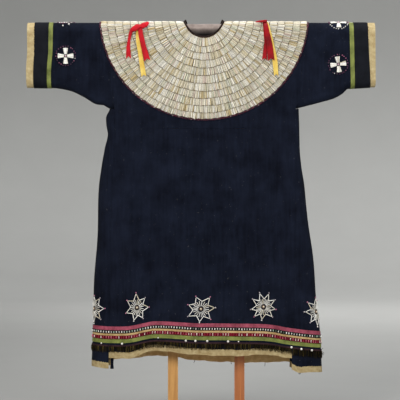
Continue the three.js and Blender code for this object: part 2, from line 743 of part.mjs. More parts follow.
// A comb: a narrow strip along the facets of one panel with a pointed strand under each step.
function comb(columns, perFacet, line) {
  const shell = new Shell();
  const stations = [];
  for (let i = 0; i + 1 < columns.length; i++) {
    for (let k = 0; k < perFacet; k++) stations.push([columns[i], columns[i + 1], k / perFacet]);
  }
  stations.push([columns.at(-2), columns.at(-1), 1]);
  const at = ([from, to, share], drop, out) =>
    line(from, drop, out).lerp(line(to, drop, out), share);
  const far = TRIM_GAP + FRINGE.thickness;
  const edge = stations.map((station) => ({
    topOut: at(station, FRINGE.top, far),
    topIn: at(station, FRINGE.top, TRIM_GAP),
    rootOut: at(station, FRINGE.root, far),
    rootIn: at(station, FRINGE.root, TRIM_GAP),
    tip: at(station, FRINGE.tip, TRIM_GAP + FRINGE.thickness / 2),
  }));
  for (let i = 0; i + 1 < edge.length; i++) {
    const a = edge[i];
    const b = edge[i + 1];
    const tip = a.tip.clone().lerp(b.tip, 0.5);
    shell.quad(a.topOut, a.rootOut, b.rootOut, b.topOut);
    shell.quad(a.topIn, b.topIn, b.rootIn, a.rootIn);
    shell.quad(a.topOut, b.topOut, b.topIn, a.topIn);
    shell.triangle(a.rootOut, tip, b.rootOut);
    shell.triangle(a.rootIn, b.rootIn, tip);
    shell.triangle(a.rootOut, a.rootIn, tip);
    shell.triangle(b.rootOut, tip, b.rootIn);
  }
  const first = edge[0];
  const last = edge.at(-1);
  shell.quad(first.topOut, first.topIn, first.rootIn, first.rootOut);
  shell.quad(last.topOut, last.rootOut, last.rootIn, last.topIn);
  return shell.geometry();
}

function buildFringe() {
  for (const { node, columns } of SKIRT) {
    const isGore = node.startsWith("gore");
    const ends = isGore ? [0.006, -0.006] : [0.001, -0.001];
    const inset = columns.map((w, i) => w + (i === 0 ? ends[0] : 0));
    inset[inset.length - 1] += ends[1];
    const line = (w, drop, out) => onBody(w, bandZ(w) - drop, out);
    const strands = comb(inset, isGore ? FRINGE.perGoreFacet : FRINGE.perFacet, line);
    add(`fringe_${node}`, strands, { color: 0x3d3524, roughness: 1, metalness: 0 });
  }
}

// ---- shell work -----------------------------------------------------------------------

// Angles round the neck, closer together where the yoke turns over the rail.
const YOKE_TURNS = [0, 14, 28, 42, 52, 60, 67, 73, 78, 81, 84, 87, 90];

function buildYoke() {
  const { groove, crest, crestAt, gap } = YOKE;
  const turns = [...YOKE_TURNS.slice(1).reverse().map((t) => -t), ...YOKE_TURNS];
  const crests = YOKE_LINES.slice(0, -1).flatMap((r, k) => [
    { r, rise: groove },
    { r: mix(r, YOKE_LINES[k + 1], crestAt), rise: crest },
  ]);
  crests.push({ r: YOKE_LINES.at(-1), rise: groove });
  for (const side of ["front", "back"]) {
    const place = (turn, r, out) => {
      const angle = THREE.MathUtils.degToRad(turn);
      const s = Math.max(r * Math.cos(angle), SEAM_GAP / 2);
      return onShoulder(ringX(r, angle), side === "front" ? s : -s, out);
    };
    const top = gridOf(crests, turns, (turn, { r, rise }) => place(turn, r, gap + rise));
    const under = gridOf(YOKE_LINES, turns, (turn, r) => place(turn, r, gap));
    add(`yoke_shells_${side}`, wall(top, under), SHELL);
  }
}

// A plate with the outline of an ornament, higher in the middle, drawn into the cloth below.
function plate(outline, rings, place, riseAt) {
  const shell = new Shell();
  const layer = (heightAt, flip) => {
    const face = (...corners) => {
      if (flip) corners.reverse();
      if (corners.length === 3) shell.triangle(...corners);
      else shell.quad(...corners);
    };
    const centre = place(0, 0, heightAt(0, 0));
    let inner = null;
    for (const share of steps(rings).slice(1)) {
      const ring = outline.map(({ r, angle }, k) =>
        place(r * share * Math.cos(angle), r * share * Math.sin(angle), heightAt(share, k)),
      );
      ring.forEach((point, k) => {
        const next = (k + 1) % ring.length;
        if (inner) face(inner[k], point, ring[next], inner[next]);
        else face(centre, point, ring[next]);
      });
      inner = ring;
    }
    return inner;
  };
  const top = layer(riseAt, false);
  const bottom = layer(() => -ORNAMENT_ROOT, true);
  top.forEach((point, k) => {
    const next = (k + 1) % top.length;
    shell.quad(top[next], point, bottom[k], bottom[next]);
  });
  return shell.geometry();
}

function buildStars() {
  const { tip, valley, centreRise, tipRise, valleyRise } = STAR;
  for (const { name, w, z, points, turn } of STARS) {
    const on = SKIRT[Math.floor(w)];
    const flat = on.node.startsWith("skirt");
    const left = bodyPoint(Math.floor(w), z);
    const right = bodyPoint(Math.floor(w) + 0.999, z);
    const swell = Math.abs(bodyPoint(Math.floor(w) + 0.5, z).x - left.x);
    const bow = Math.PI * Math.sqrt((swell ** 2 + left.y ** 2) / 2);
    const width = flat ? Math.abs(right.x - left.x) : bow;
    const place = (p, q, out) => onBody(w + p / width, z + q, out);
    const outline = steps(2 * points).slice(0, -1).map((share, k) => ({
      r: k % 2 ? valley : tip,
      angle: 2 * Math.PI * share + Math.PI / 2 + turn,
    }));
    const riseAt = (share, k) => mix(centreRise, k % 2 ? valleyRise : tipRise, share);
    const block = plate(outline, 2, place, riseAt);
    const cutter = wallOn(on.place, on.rows, on.columns, ORNAMENT_GAP, -CUTTER_DEPTH);
    add(name, cutAway(block, cutter), SHELL);
  }
}

function buildCrosses() {
  const { arm, endHalf, waist, rise, edgeRise } = CROSS;
  const outline = [0, 1, 2, 3].flatMap((quarter) => {
    const middle = (quarter * Math.PI) / 2;
    const end = Math.atan2(endHalf, arm);
    const reach = Math.hypot(arm, endHalf);
    return [
      { r: waist, angle: middle - Math.PI / 4 },
      { r: reach, angle: middle - end },
      { r: reach, angle: middle + end },
    ];
  });
  for (const { name, sleeve, x, s, turn } of CROSSES) {
    const place = (p, q, out) => {
      const across = p * Math.cos(turn) - q * Math.sin(turn);
      const up = p * Math.sin(turn) + q * Math.cos(turn);
      return onShoulder(x + across, s < -QUARTER ? s + up : s - up, out);
    };
    const block = plate(outline, 3, place, (share) => mix(rise, edgeRise, share));
    const cutter = sleeveWall(sleeve, ORNAMENT_GAP, -CUTTER_DEPTH);
    add(name, cutAway(block, cutter), SHELL);
  }
}

// ---- ribbon ties ----------------------------------------------------------------------

function buildTies() {
  const notch = 0.05; // each tail ends in a swallow tail
  for (const { name, out, colour, path } of TIES) {
    const curve = new THREE.CatmullRomCurve3(path.map(({ x, s }) => new THREE.Vector3(x, s, 0)));
    const place = (across, t, rise) => {
      const along = t * (across === 0 ? 1 - notch : 1);
      const centre = curve.getPoint(along);
      const way = curve.getTangent(along);
      const rows = path.map(({ width }, k) => ({ t: k / (path.length - 1), width }));
      const half = (smooth(rows, "t", "width", along) / 2) * across;
      return onShoulder(centre.x + way.y * half, centre.y - way.x * half, TIE_OUT + out + rise);
    };
    const tail = wallOn(place, TIE_ALONG, [-1, 0, 1], RIBBON, 0);
    add(name, tail, { color: colour, roughness: 0.5, metalness: 0 });
  }
  for (const { name, x, s, length, height, depth, tilt, colour } of KNOTS) {
    const knot = new THREE.SphereGeometry(0.5, 10, 6).scale(length, depth, height);
    const mesh = add(name, knot, { color: colour, roughness: 0.6, metalness: 0 });
    mesh.position.copy(onShoulder(x, s, KNOT_OUT));
    const normal = onShoulder(x, s, 1).sub(onShoulder(x, s, 0)).normalize();
    mesh.quaternion.setFromUnitVectors(new THREE.Vector3(0, -1, 0), normal);
    mesh.rotateY(-tilt); // raises the end nearer the wearer's left
  }
}

buildStand();
buildBodice();
buildSleeves();
buildSkirt();
buildBinding();
buildHemBands();
buildFringe();
buildYoke();
buildStars();
buildCrosses();
buildTies();

export default dress;
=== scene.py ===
import math
import bpy
import numpy as np
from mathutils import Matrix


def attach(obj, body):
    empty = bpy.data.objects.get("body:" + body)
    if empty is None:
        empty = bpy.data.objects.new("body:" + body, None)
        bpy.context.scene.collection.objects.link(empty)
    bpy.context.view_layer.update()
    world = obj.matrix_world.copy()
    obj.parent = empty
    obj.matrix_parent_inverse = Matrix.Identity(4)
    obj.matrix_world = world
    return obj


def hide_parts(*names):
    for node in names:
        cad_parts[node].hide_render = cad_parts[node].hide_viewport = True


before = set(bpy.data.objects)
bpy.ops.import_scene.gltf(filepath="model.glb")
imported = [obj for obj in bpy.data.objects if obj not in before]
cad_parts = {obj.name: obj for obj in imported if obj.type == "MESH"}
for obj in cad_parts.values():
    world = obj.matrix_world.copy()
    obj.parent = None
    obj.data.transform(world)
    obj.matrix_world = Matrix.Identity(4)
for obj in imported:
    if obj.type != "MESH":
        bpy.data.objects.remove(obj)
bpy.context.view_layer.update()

# Lengths below are in millimetres and become metres in makeMesh. The front faces -Y.

# ---- the cut of the dress

rail = {"z": 1381.0, "radius": 32.8, "left": -616.0, "right": 580.0}
clothWall = 2.2
foldRadius = rail["radius"] + 1 + clothWall
quarter = foldRadius * np.pi / 2  # cloth from the shoulder fold to the rail's mid height
armpitDrop = 327.0
seamGap = 0.5
trimGap = 0.9
neck = {"x": -8.0, "radius": 72.5, "narrow": 0.93}
yokeLines = np.array([78.7, 107, 131, 156, 183, 210, 238, 265, 290, 316, 341, 362])  # row ends

armholes = {"left": (-373.0, -369.0, -322.0), "right": (361.0, 357.0, 315.5)}
sides = {
    "z": [1110, 1079, 1055, 1024, 973, 916, 840, 697, 520, 354, 275, 180],
    "leftEdge": [-340.5, -353.5, -352.5, -348, -359.5, -369.7, -378, -384, -394, -401, -402, -404],
    "left": [-322, -322.5, -323, -324, -326, -328, -330.5, -334, -337, -340, -341, -342],
    "right": [315.5, 315.3, 315, 314.7, 314.4, 314, 313.5, 312.5, 311, 307, 301, 298],
    "rightEdge": [327, 328.5, 329.5, 330, 330.5, 335, 347, 363, 384, 398, 402.5, 413],
}
waist = {"x": [-330, 140, 230, 325], "z": [1041, 1041, 1051, 1055]}
waistLevel, bandLevel, backHemLevel, seamTop = 1045.0, 350.0, 201.0, 1110  # heights that stand for those lines
depths = {
    "z": [rail["z"], 1250, 1110, 950, 700, 450, 180],
    "front": [foldRadius, 43, 48, 52, 62, 76, 92],
    "back": [foldRadius, 41, 46, 50, 60, 74, 88],
    "seam": [foldRadius, 30, 24, 28, 36, 44, 51],
}
bandLine = {
    "x": [-402, -338, -284, -249, -214, -179, -144, -22, 117, 187, 240, 275, 328, 402],
    "front": [351, 348, 349, 354, 362, 367, 367, 361.5, 360, 358, 352.5, 345.5, 338, 328],
    "frontHem": [236, 236.5, 237.5, 243, 256, 266, 263.5, 252.5, 248, 251, 249, 239, 234, 222],
    "back": [351, 350, 350, 350, 349, 349, 348, 348, 346, 344, 342, 340, 336, 328],
    "backHem": [222, 222, 224, 227, 230.5, 233, 231, 214, 208.5, 209, 211.5, 212.5, 213, 213],
}
cuffEdge = {
    "left": {"z": [1420, 1320, 1240, 1186], "x": [-629.5, -629, -633.5, -632.5]},
    "right": {"z": [1420, 1320, 1186], "x": [593.5, 594.5, 596]},
}
sleeveUnder = {
    "left": {"x": [-640, -540, -477, -427, -382, -361, -341, -322],
             "z": [1187.5, 1186.5, 1177, 1154, 1128, 1126, 1114, 1112]},
    "right": {"x": [600, 496, 480, 450, 402, 350, 318], "z": [1190, 1183, 1168, 1150, 1136, 1122, 1114]},
}

# Large troughs, as in the solids, then fine creases: side, from x and z, to x and z, width, depth.
folds = [
    ("front", -232, 1030, -172, 430, 46, 11), ("front", -172, 430, -168, 100, 50, 12),
    ("front", 240, 1080, 222, 640, 44, 8), ("front", 222, 640, 236, 100, 50, 11),
    ("front", 48, 560, 52, 100, 46, 7), ("back", 190, 1020, 150, 100, 50, 12),
    ("back", -60, 760, -40, 100, 48, 8), ("back", -210, 1000, -235, 100, 46, 11),
    ("front", -420, 1290, -366, 1170, 27, 6), ("front", 405, 1290, 362, 1170, 27, 6),
    ("back", -425, 1290, -368, 1170, 27, 6), ("back", 415, 1285, 368, 1170, 27, 6),
]
creases = [
    ("front", -318, 1126, -292, 1196, 7, 3.4), ("front", -306, 1118, -268, 1150, 6, 2.4),
    ("front", 314, 1124, 290, 1190, 7, 3.2), ("front", 300, 1118, 262, 1140, 6, 2.2),
    ("front", -280, 1030, -262, 860, 14, 1.6), ("front", -108, 1034, -92, 700, 17, 1.5),
    ("front", 30, 1036, 16, 820, 14, 1.0), ("front", 128, 1034, 118, 610, 16, 1.7),
    ("front", 296, 1040, 286, 520, 10, 1.4), ("front", -300, 700, -292, 260, 14, 1.9),
    ("front", -70, 520, -84, 250, 18, 1.8), ("front", 132, 480, 146, 250, 16, 1.6),
    ("front", 280, 470, 288, 250, 9, 1.3), ("front", -20, 820, 4, 590, 20, 1.2),
    ("back", -316, 1124, -288, 1192, 7, 1.8), ("back", 312, 1124, 286, 1188, 7, 1.6),
    ("back", 256, 1034, 240, 700, 15, 1.6), ("back", 92, 1034, 70, 560, 18, 1.8),
    ("back", -132, 1030, -120, 620, 16, 1.6), ("back", -290, 980, -284, 420, 13, 1.5),
    ("back", 30, 520, 44, 220, 17, 1.9), ("back", -130, 460, -142, 220, 16, 1.7),
    ("front", -520, 1290, -436, 1210, 10, 1.8), ("front", -600, 1262, -520, 1206, 9, 1.2),
    ("front", -452, 1180, -380, 1150, 8, 1.6), ("front", 520, 1272, 430, 1196, 10, 1.6),
    ("front", 572, 1330, 548, 1214, 11, 1.2), ("front", 440, 1180, 372, 1152, 8, 1.5),
    ("back", -530, 1290, -440, 1208, 10, 1.8), ("back", -450, 1178, -384, 1150, 8, 1.5),
    ("back", 528, 1280, 436, 1200, 10, 1.7), ("back", 436, 1176, 376, 1150, 8, 1.5),
]


def smooth(table, across, column, at):
    # a smooth curve through the rows of a table that never overshoots them
    x, y = np.array(table[across], float), np.array(table[column], float)
    if x[0] > x[-1]:
        x, y = x[::-1], y[::-1]
    slope = np.diff(y) / np.diff(x)
    total = np.where(slope[:-1] * slope[1:] > 0, slope[:-1] + slope[1:], 1)
    inner = np.where(slope[:-1] * slope[1:] > 0, 2 * slope[:-1] * slope[1:] / total, 0)
    tangent = np.concatenate([slope[:1], inner, slope[-1:]])
    at = np.clip(at, x[0], x[-1])
    i = np.clip(np.searchsorted(x, at, side="right") - 1, 0, len(x) - 2)
    span = x[i + 1] - x[i]
    t = (at - x[i]) / span
    rise, a, b = y[i + 1] - y[i], tangent[i] * span, tangent[i + 1] * span
    return y[i] + a * t + (3 * rise - 2 * a - b) * t**2 + (a + b - 2 * rise) * t**3


def seamAlong(side, s):
    # straight armhole down to the armpit, then the side seam from the table
    fold, middle, armpit = armholes[side]
    lower = middle + (armpit - middle) * (s - quarter) / (armpitDrop - quarter)
    upper = np.where(s < quarter, fold + (middle - fold) * s / quarter, lower)
    return np.where(s < armpitDrop, upper, smooth(sides, "z", side, rail["z"] + quarter - s))


def seamX(side, z):
    return seamAlong(side, quarter + rail["z"] - z)


def valleys(rows, side, x, z):
    # a sum of troughs, each a bell across the distance to its own line
    total = np.zeros(np.broadcast(x, z).shape)
    for on, x1, z1, x2, z2, width, depth in rows:
        if on != side:
            continue
        dx, dz = x2 - x1, z2 - z1
        t = np.clip(((x - x1) * dx + (z - z1) * dz) / (dx * dx + dz * dz), 0, 1)
        away = np.hypot(x - x1 - dx * t, z - z1 - dz * t) / width
        total = total + depth * np.exp(-away * away)
    return total


def drape(side, x, z):
    # long uneven waves, and short puckers that die out on both sides of the waist seam
    turn = 0.0 if side == "front" else 2.3
    total = np.zeros(np.broadcast(x, z).shape)
    for k, (kx, kz, size) in enumerate((
        (0.021, 0.006, 0.9), (0.037, -0.009, 0.6), (0.012, 0.017, 0.8), (0.061, 0.008, 0.3),
        (0.029, -0.024, 0.35),
    )):
        total = total + size * np.sin(kx * x + kz * z + turn + 1.7 * k)
    below = smooth(waist, "x", "z", x) - z
    pucker = np.sin(x / 7.3 + np.sin(x / 31) * 2.1) * np.exp(-np.abs(below) / 13)
    return total + 0.55 * pucker


def depthAt(side, x, z):
    # distance of the cloth from the middle plane: full in the middle, slim at the seams
    seam = smooth(depths, "z", "seam", z)
    middle = smooth(depths, "z", side, z)
    left = seamX("left", z)
    u = np.clip(2 * (x - left) / (seamX("right", z) - left) - 1, -1, 1)
    fade = np.clip((rail["z"] - z) / 80, 0, 1)
    fade = fade * fade * (3 - 2 * fade)
    relief = valleys(folds, side, x, z) + valleys(creases, side, x, z) - drape(side, x, z)
    return seam + (middle - seam) * (1 - np.abs(u) ** 2.6) - relief * fade


def shoulderPoint(x, s):
    # an arc round the rail, then the hanging front (s > 0) or back (s < 0)
    x, s = np.broadcast_arrays(np.asarray(x, float), np.asarray(s, float))
    run, facing = np.abs(s), np.where(s >= 0, -1.0, 1.0)
    angle = np.minimum(run, quarter) / foldRadius
    z = rail["z"] + quarter - run
    hanging = np.where(s >= 0, depthAt("front", x, z), depthAt("back", x, z))
    over = run <= quarter
    y = facing * np.where(over, foldRadius * np.sin(angle), hanging)
    return np.stack([x, y, np.where(over, rail["z"] + foldRadius * np.cos(angle), z)], -1)


def bodyPoint(around, z):
    # w runs 0 to 1 across the front, to 2 round the right gore, to 3 across the back, to 4 home
    w, z = np.broadcast_arrays(np.mod(np.asarray(around, float), 4), np.asarray(z, float))
    left, right = seamX("left", z), seamX("right", z)
    front, back = left + (right - left) * np.clip(w, 0, 1), right + (left - right) * np.clip(w - 2, 0, 1)
    angle = np.pi * np.where(w < 2, w - 1, 4 - w)
    seam = np.where(w < 2, right, left)
    edge = np.where(w < 2, smooth(sides, "z", "rightEdge", z), smooth(sides, "z", "leftEdge", z))
    ripple = 1 + 0.03 * np.sin(z * 0.021 + w) * np.sin(np.clip(angle, 0, np.pi)) ** 2
    goreX = seam + (edge - seam) * np.sin(angle) * ripple
    goreY = -depthAt("front", seam, z) * np.cos(angle)
    onFront, onBack = w <= 1, (w >= 2) & (w <= 3)
    x = np.where(onFront, front, np.where(onBack, back, goreX))
    y = np.where(onFront, -depthAt("front", front, z), np.where(onBack, depthAt("back", back, z), goreY))
    return np.stack([x, y, z], -1)


def sleevePoint(side, v, t):
    # v runs from the cuff to the armhole; t goes round from the lower fold over the shoulder
    v, t = np.broadcast_arrays(np.asarray(v, float), np.asarray(t, float))
    lowest, armpit = cuffEdge[side]["x"][-1], armholes[side][2]
    low = smooth(sleeveUnder[side], "x", "z", lowest + (armpit - lowest) * v) + 26
    turn, facing = np.abs(t), np.where(t >= 0, -1.0, 1.0)
    top = rail["z"] + foldRadius * np.cos(np.minimum(turn, 1) * np.pi / 2)
    wallZ = rail["z"] + (low - rail["z"]) * (np.minimum(turn, 2) - 1)
    angle = np.clip(turn - 2, 0, 1.2) * np.pi / 2
    z = np.where(turn <= 1, top, np.where(turn <= 2, wallZ, low - 26 * np.sin(angle)))
    share = np.where(turn > 2, np.sign(np.cos(angle)) * np.abs(np.cos(angle)) ** 0.6, 1)
    s = np.where(turn <= 1, turn * quarter, quarter + rail["z"] - z)
    armhole = seamAlong(side, np.minimum(s, armpitDrop - 1e-6)) + (-seamGap if side == "left" else seamGap)
    edge = smooth(cuffEdge[side], "z", "x", z)
    x = edge + (armhole - edge) * v
    hanging = np.where(t >= 0, depthAt("front", x, z), depthAt("back", x, z))
    y = np.where(turn <= 1, foldRadius * np.sin(turn * np.pi / 2), share * hanging)
    return np.stack([x, facing * y, z], -1)


def movedOut(surface, a, b, out, facing, stepA, stepB):
    # a surface moved along its own normal, taken from two small steps
    a, b = np.asarray(a, float), np.asarray(b, float)
    along = surface(a + stepA, b) - surface(a - stepA, b)
    down = surface(a, b + stepB) - surface(a, b - stepB)
    normal = np.cross(along, down)
    normal = facing * normal / np.maximum(np.linalg.norm(normal, axis=-1, keepdims=True), 1e-9)
    return surface(a, b) + normal * np.asarray(out, float)[..., None], normal


def onShoulder(x, s, out):
    return movedOut(shoulderPoint, x, s, out, -1, 1.0, 1.0)[0]


def ringX(r, angle):
    # rings round the neck are narrowed near the hole and quite round at the yoke's outer edge
    share = np.clip((r - neck["radius"]) / (yokeLines[-1] - neck["radius"]), 0, 1)
    return neck["x"] + r * np.sin(angle) * (neck["narrow"] + (1 - neck["narrow"]) * share)


def onBody(w, z, out):
    return movedOut(bodyPoint, w, z, out, 1, 0.004, 2.0)[0]


def bodyNormal(w, z):
    return movedOut(bodyPoint, w, z, 0, 1, 0.004, 2.0)[1]


def onSleeve(side, v, t, out):
    surface = lambda turn, along: sleevePoint(side, along, turn)
    return movedOut(surface, t, v, out, 1 if side == "left" else -1, 0.02, 0.01)[0]


# ---- meshes from arrays


def signedVolume(points, faces):
    total = 0.0
    for face in faces:
        for k in range(1, face.shape[1] - 1):
            a, b, c = points[face[:, 0]], points[face[:, k]], points[face[:, k + 1]]
            total += float((a * np.cross(b, c)).sum())
    return total / 6


def makeMesh(name, points, faces, finish, slot=None, uv=None, tone=None, sharp=40, turnOut=True):
    # faces is a list of index arrays, uv a list of corner arrays to match, tone a colour per point
    points = np.asarray(points, float).reshape(-1, 3)
    if turnOut and signedVolume(points, faces) < 0:
        faces = [face[:, ::-1] for face in faces]
        uv = [corner[:, ::-1] for corner in uv] if uv is not None else None
    mesh = bpy.data.meshes.new(name)
    mesh.vertices.add(len(points))
    mesh.vertices.foreach_set("co", (points * 0.001).astype(np.float32).ravel())
    corners = np.concatenate([face.ravel() for face in faces]).astype(np.int32)
    counts = np.concatenate([np.full(len(face), face.shape[1]) for face in faces])
    mesh.loops.add(len(corners))
    mesh.loops.foreach_set("vertex_index", corners)
    mesh.polygons.add(len(counts))
    mesh.polygons.foreach_set("loop_start", np.concatenate([[0], np.cumsum(counts)[:-1]]).astype(np.int32))
    mesh.update(calc_edges=True)
    mesh.polygons.foreach_set("use_smooth", np.ones(len(counts), bool))
    if uv is not None:
        places = np.concatenate([corner.reshape(-1, 2) for corner in uv]).astype(np.float32)
        mesh.uv_layers.new(name="flat").data.foreach_set("uv", places.ravel())
    if tone is not None:
        colours = np.ones((len(points), 4), np.float32)
        colours[:, :3] = np.asarray(tone, float).reshape(-1, 3)
        layer = mesh.color_attributes.new(name="tone", type="FLOAT_COLOR", domain="POINT")
        layer.data.foreach_set("color", colours.ravel())
    mesh.set_sharp_from_angle(angle=math.radians(sharp))
    mesh.validate()
    mesh.materials.append(finish)
    piece = bpy.data.objects.new(name, mesh)
    bpy.context.scene.collection.objects.link(piece)
    if slot:
        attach(piece, "root")
    return piece


def gridCells(rows, columns, ring=True):
    # the quads between neighbouring rows of a grid; a ring's last column joins its first
    j, i = np.meshgrid(np.arange(rows - 1), np.arange(columns if ring else columns - 1), indexing="ij")
    low, after = j * columns, (i + 1) % columns
    return np.stack([low + i, low + after, low + columns + after, low + columns + i], -1).reshape(-1, 4)


def endCaps(rows, columns):
    # triangles from a ring grid's first and last rows to two points that follow the grid
    k = np.arange(columns)
    after, first, last = (k + 1) % columns, rows * columns, (rows - 1) * columns
    return np.concatenate([
        np.stack([np.full(columns, first), after, k], -1),
        np.stack([np.full(columns, first + 1), last + k, last + after], -1),
    ])


def closed(grid):
    return np.concatenate([grid, grid[:, :1]], 1)


def areaOf(grid):
    # square metres of a grid in millimetres, from the diagonals of its cells
    crossed = np.cross(grid[1:, 1:] - grid[:-1, :-1], grid[1:, :-1] - grid[:-1, 1:])
    return float(np.linalg.norm(crossed, axis=-1).sum() / 2e6)


def wallMesh(name, outer, inner, flat, finish, slot, ring=False, sharp=40):
    # two grids of points joined round their rims
    rows, columns = outer.shape[:2]
    cell, spot = gridCells(rows, columns, ring), gridCells(rows, flat.shape[1], False)
    back = rows * columns
    faces, spots = [cell, cell[:, ::-1] + back], [spot, spot[:, ::-1]]
    per = columns if ring else columns - 1
    first, last = slice(0, per), slice((rows - 2) * per, (rows - 1) * per)
    rims = [(cell[first], spot[first], (1, 0)), (cell[last], spot[last], (3, 2))]
    if not ring:
        grid, spotGrid = cell.reshape(rows - 1, per, 4), spot.reshape(rows - 1, per, 4)
        rims += [(grid[:, 0], spotGrid[:, 0], (0, 3)), (grid[:, -1], spotGrid[:, -1], (2, 1))]
    for some, where, (a, b) in rims:
        faces.append(np.stack([some[:, a], some[:, b], some[:, b] + back, some[:, a] + back], -1))
        spots.append(np.stack([where[:, a], where[:, b], where[:, b], where[:, a]], -1))
    points = np.concatenate([outer.reshape(-1, 3), inner.reshape(-1, 3)])
    corners = flat.reshape(-1, 2)
    return makeMesh(name, points, faces, finish, slot, uv=[corners[s] for s in spots], sharp=sharp)


def unitOf(vectors):
    return vectors / np.maximum(np.linalg.norm(vectors, axis=-1, keepdims=True), 1e-9)


def perPiece(count, *values):
    return [np.broadcast_to(np.asarray(value, float), count) for value in values]


def copies(points, tone, rings, sides):
    # points, faces and tones of many round pieces, each with two end points after its rings
    shift = (np.arange(len(points)) * points.shape[1])[:, None, None]
    faces = [(gridCells(rings, sides) + shift).reshape(-1, 4), (endCaps(rings, sides) + shift).reshape(-1, 3)]
    return points.reshape(-1, 3), faces, tone.reshape(-1, 3)


def quills(start, end, normal, startWidth, endWidth, bow, tones, sides=7, rings=5):
    # each quill carries a circle from start to end: its width changes evenly, its middle rises
    # along the normal as a parabola, and both ends close on a point sunk in the bore
    count = len(start)
    startWidth, endWidth, bow = perPiece(count, startWidth, endWidth, bow)
    along = end - start
    way = unitOf(along)
    across = unitOf(np.cross(normal, way))
    up = np.cross(way, across)
    t = np.linspace(0, 1, rings)
    rise = (bow[:, None] * 4 * t * (1 - t))[..., None]
    centre = start[:, None] + along[:, None] * t[None, :, None] + up[:, None] * rise
    radius = (startWidth[:, None] * (1 - t) + endWidth[:, None] * t) / 2
    angle = np.arange(sides) * 2 * np.pi / sides
    spoke = np.cos(angle)[None, :, None] * across[:, None] + np.sin(angle)[None, :, None] * up[:, None]
    ring = centre[:, :, None] + radius[..., None, None] * spoke[:, None]
    sunk = np.stack([start + way * radius[:, :1] * 0.8, end - way * radius[:, -1:] * 0.8], 1)
    points = np.concatenate([ring.reshape(count, -1, 3), sunk], 1)
    # painted shade: each quill's tone falls towards both ends and to half at the points sunk in its bore
    paintedShading = np.concatenate([np.repeat(0.86 + 0.14 * np.sin(np.pi * (0.15 + 0.7 * t)), sides), [0.5, 0.5]])
    return copies(points, tones[:, None] * paintedShading[None, :, None], rings, sides)


def turned(centre, normal, radius, profile, tones, sides=8):
    # each one turns a profile of (distance from the axis, height) round its normal
    count, profile = len(centre), np.array(profile, float)
    radius, = perPiece(count, radius)
    helper = np.where(np.abs(normal[:, 2:3]) < 0.9, [[0, 0, 1.0]], [[1.0, 0, 0]])
    across = unitOf(np.cross(helper, normal))
    up = np.cross(normal, across)
    angle = np.arange(sides) * 2 * np.pi / sides
    spoke = np.cos(angle)[None, :, None] * across[:, None] + np.sin(angle)[None, :, None] * up[:, None]
    middle = profile[1:-1]
    ring = centre[:, None, None] + radius[:, None, None, None] * (
        middle[None, :, 0, None, None] * spoke[:, None] + middle[None, :, 1, None, None] * normal[:, None, None]
    )
    ends = centre[:, None] + radius[:, None, None] * profile[None, [0, -1], 1, None] * normal[:, None]
    points = np.concatenate([ring.reshape(count, -1, 3), ends], 1)
    return copies(points, np.repeat(tones[:, None], points.shape[1], 1), len(middle), sides)


def joined(parts):
    # several sets of points, faces and tones as one
    points, faces, tones, shift = [], [], [], 0
    for some, sets, tone in parts:
        points.append(some)
        faces += [face + shift for face in sets]
        tones.append(tone)
        shift += len(some)
    return np.concatenate(points), faces, np.concatenate(tones)


def tonedPiece(name, parts, finish, slot, sharp=40, node=None):
    points, faces, tone = joined(parts)
    piece = makeMesh(name, points, faces, finishes[finish], slot, tone=tone, sharp=sharp)
    if node:
        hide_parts(node)
    return piece


# profiles as (distance from the axis, height), from below upwards
ball = [(0, -1), (0.62, -0.78), (0.98, -0.2), (0.9, 0.44), (0.5, 0.87), (0, 1)]
button = [(0, -0.2), (0.9, -0.2), (1, 0.05), (0.82, 0.34), (0.45, 0.5), (0, 0.54)]


def linear(*colour):
    # screen colour to the light values that the shaders use
    c = np.array(colour, float) / 255
    return np.where(c <= 0.04045, c / 12.92, ((c + 0.055) / 1.055) ** 2.4)


def pick(random, count, choices):
    # a tone for each of a number of pieces: choices are (share, colour), with a little spread
    shares = np.array([share for share, _ in choices], float)
    colours = np.array([linear(*colour) for _, colour in choices])
    chosen = colours[random.choice(len(choices), count, p=shares / shares.sum())]
    return chosen * random.uniform(0.82, 1.15, (count, 1))


# ---- finishes


def addNode(tree, kind, values=None, **settings):
    # values are sockets to link, or plain numbers and colours for the node's own sockets
    node = tree.nodes.new(kind)
    for key, value in settings.items():
        setattr(node, key, value)
    for key, value in (values or {}).items():
        if isinstance(value, bpy.types.NodeSocket):
            tree.links.new(value, node.inputs[key])
        else:
            node.inputs[key].default_value = value
    return node


def noiseOf(tree, vector, scale, detail, roughness=0.5, distortion=0.0):
    values = {
        "Vector": vector, "Scale": scale, "Detail": detail, "Roughness": roughness, "Distortion": distortion,
    }
    return addNode(tree, "ShaderNodeTexNoise", values).outputs


def ramped(tree, value, low, high, toLow=0.0, toHigh=1.0):
    values = {"Value": value, "From Min": low, "From Max": high, "To Min": toLow, "To Max": toHigh}
    return addNode(tree, "ShaderNodeMapRange", values).outputs[0]


def newGroup(name, inputs, outputs):
    group = bpy.data.node_groups.new(name, "ShaderNodeTree")
    kinds = {"vector": "NodeSocketVector", "value": "NodeSocketFloat", "colour": "NodeSocketColor"}
    for label, kind, start in inputs:
        socket = group.interface.new_socket(name=label, in_out="INPUT", socket_type=kinds[kind])
        if start is not None:
            socket.default_value = start
    for label, kind in outputs:
        group.interface.new_socket(name=label, in_out="OUTPUT", socket_type=kinds[kind])
    return group, group.nodes.new("NodeGroupInput"), group.nodes.new("NodeGroupOutput")


def mathOf(tree, operation, a, b=0.5, clamp=False):
    return addNode(tree, "ShaderNodeMath", {0: a, 1: b}, operation=operation, use_clamp=clamp).outputs[0]


def mixOf(tree, factor, a, b, blend="MIX"):
    node = addNode(tree, "ShaderNodeMix", {0: factor, 6: a, 7: b}, data_type="RGBA", blend_type=blend)
    return node.outputs[2]


def rgb(*colour):
    return (*linear(*colour), 1.0)


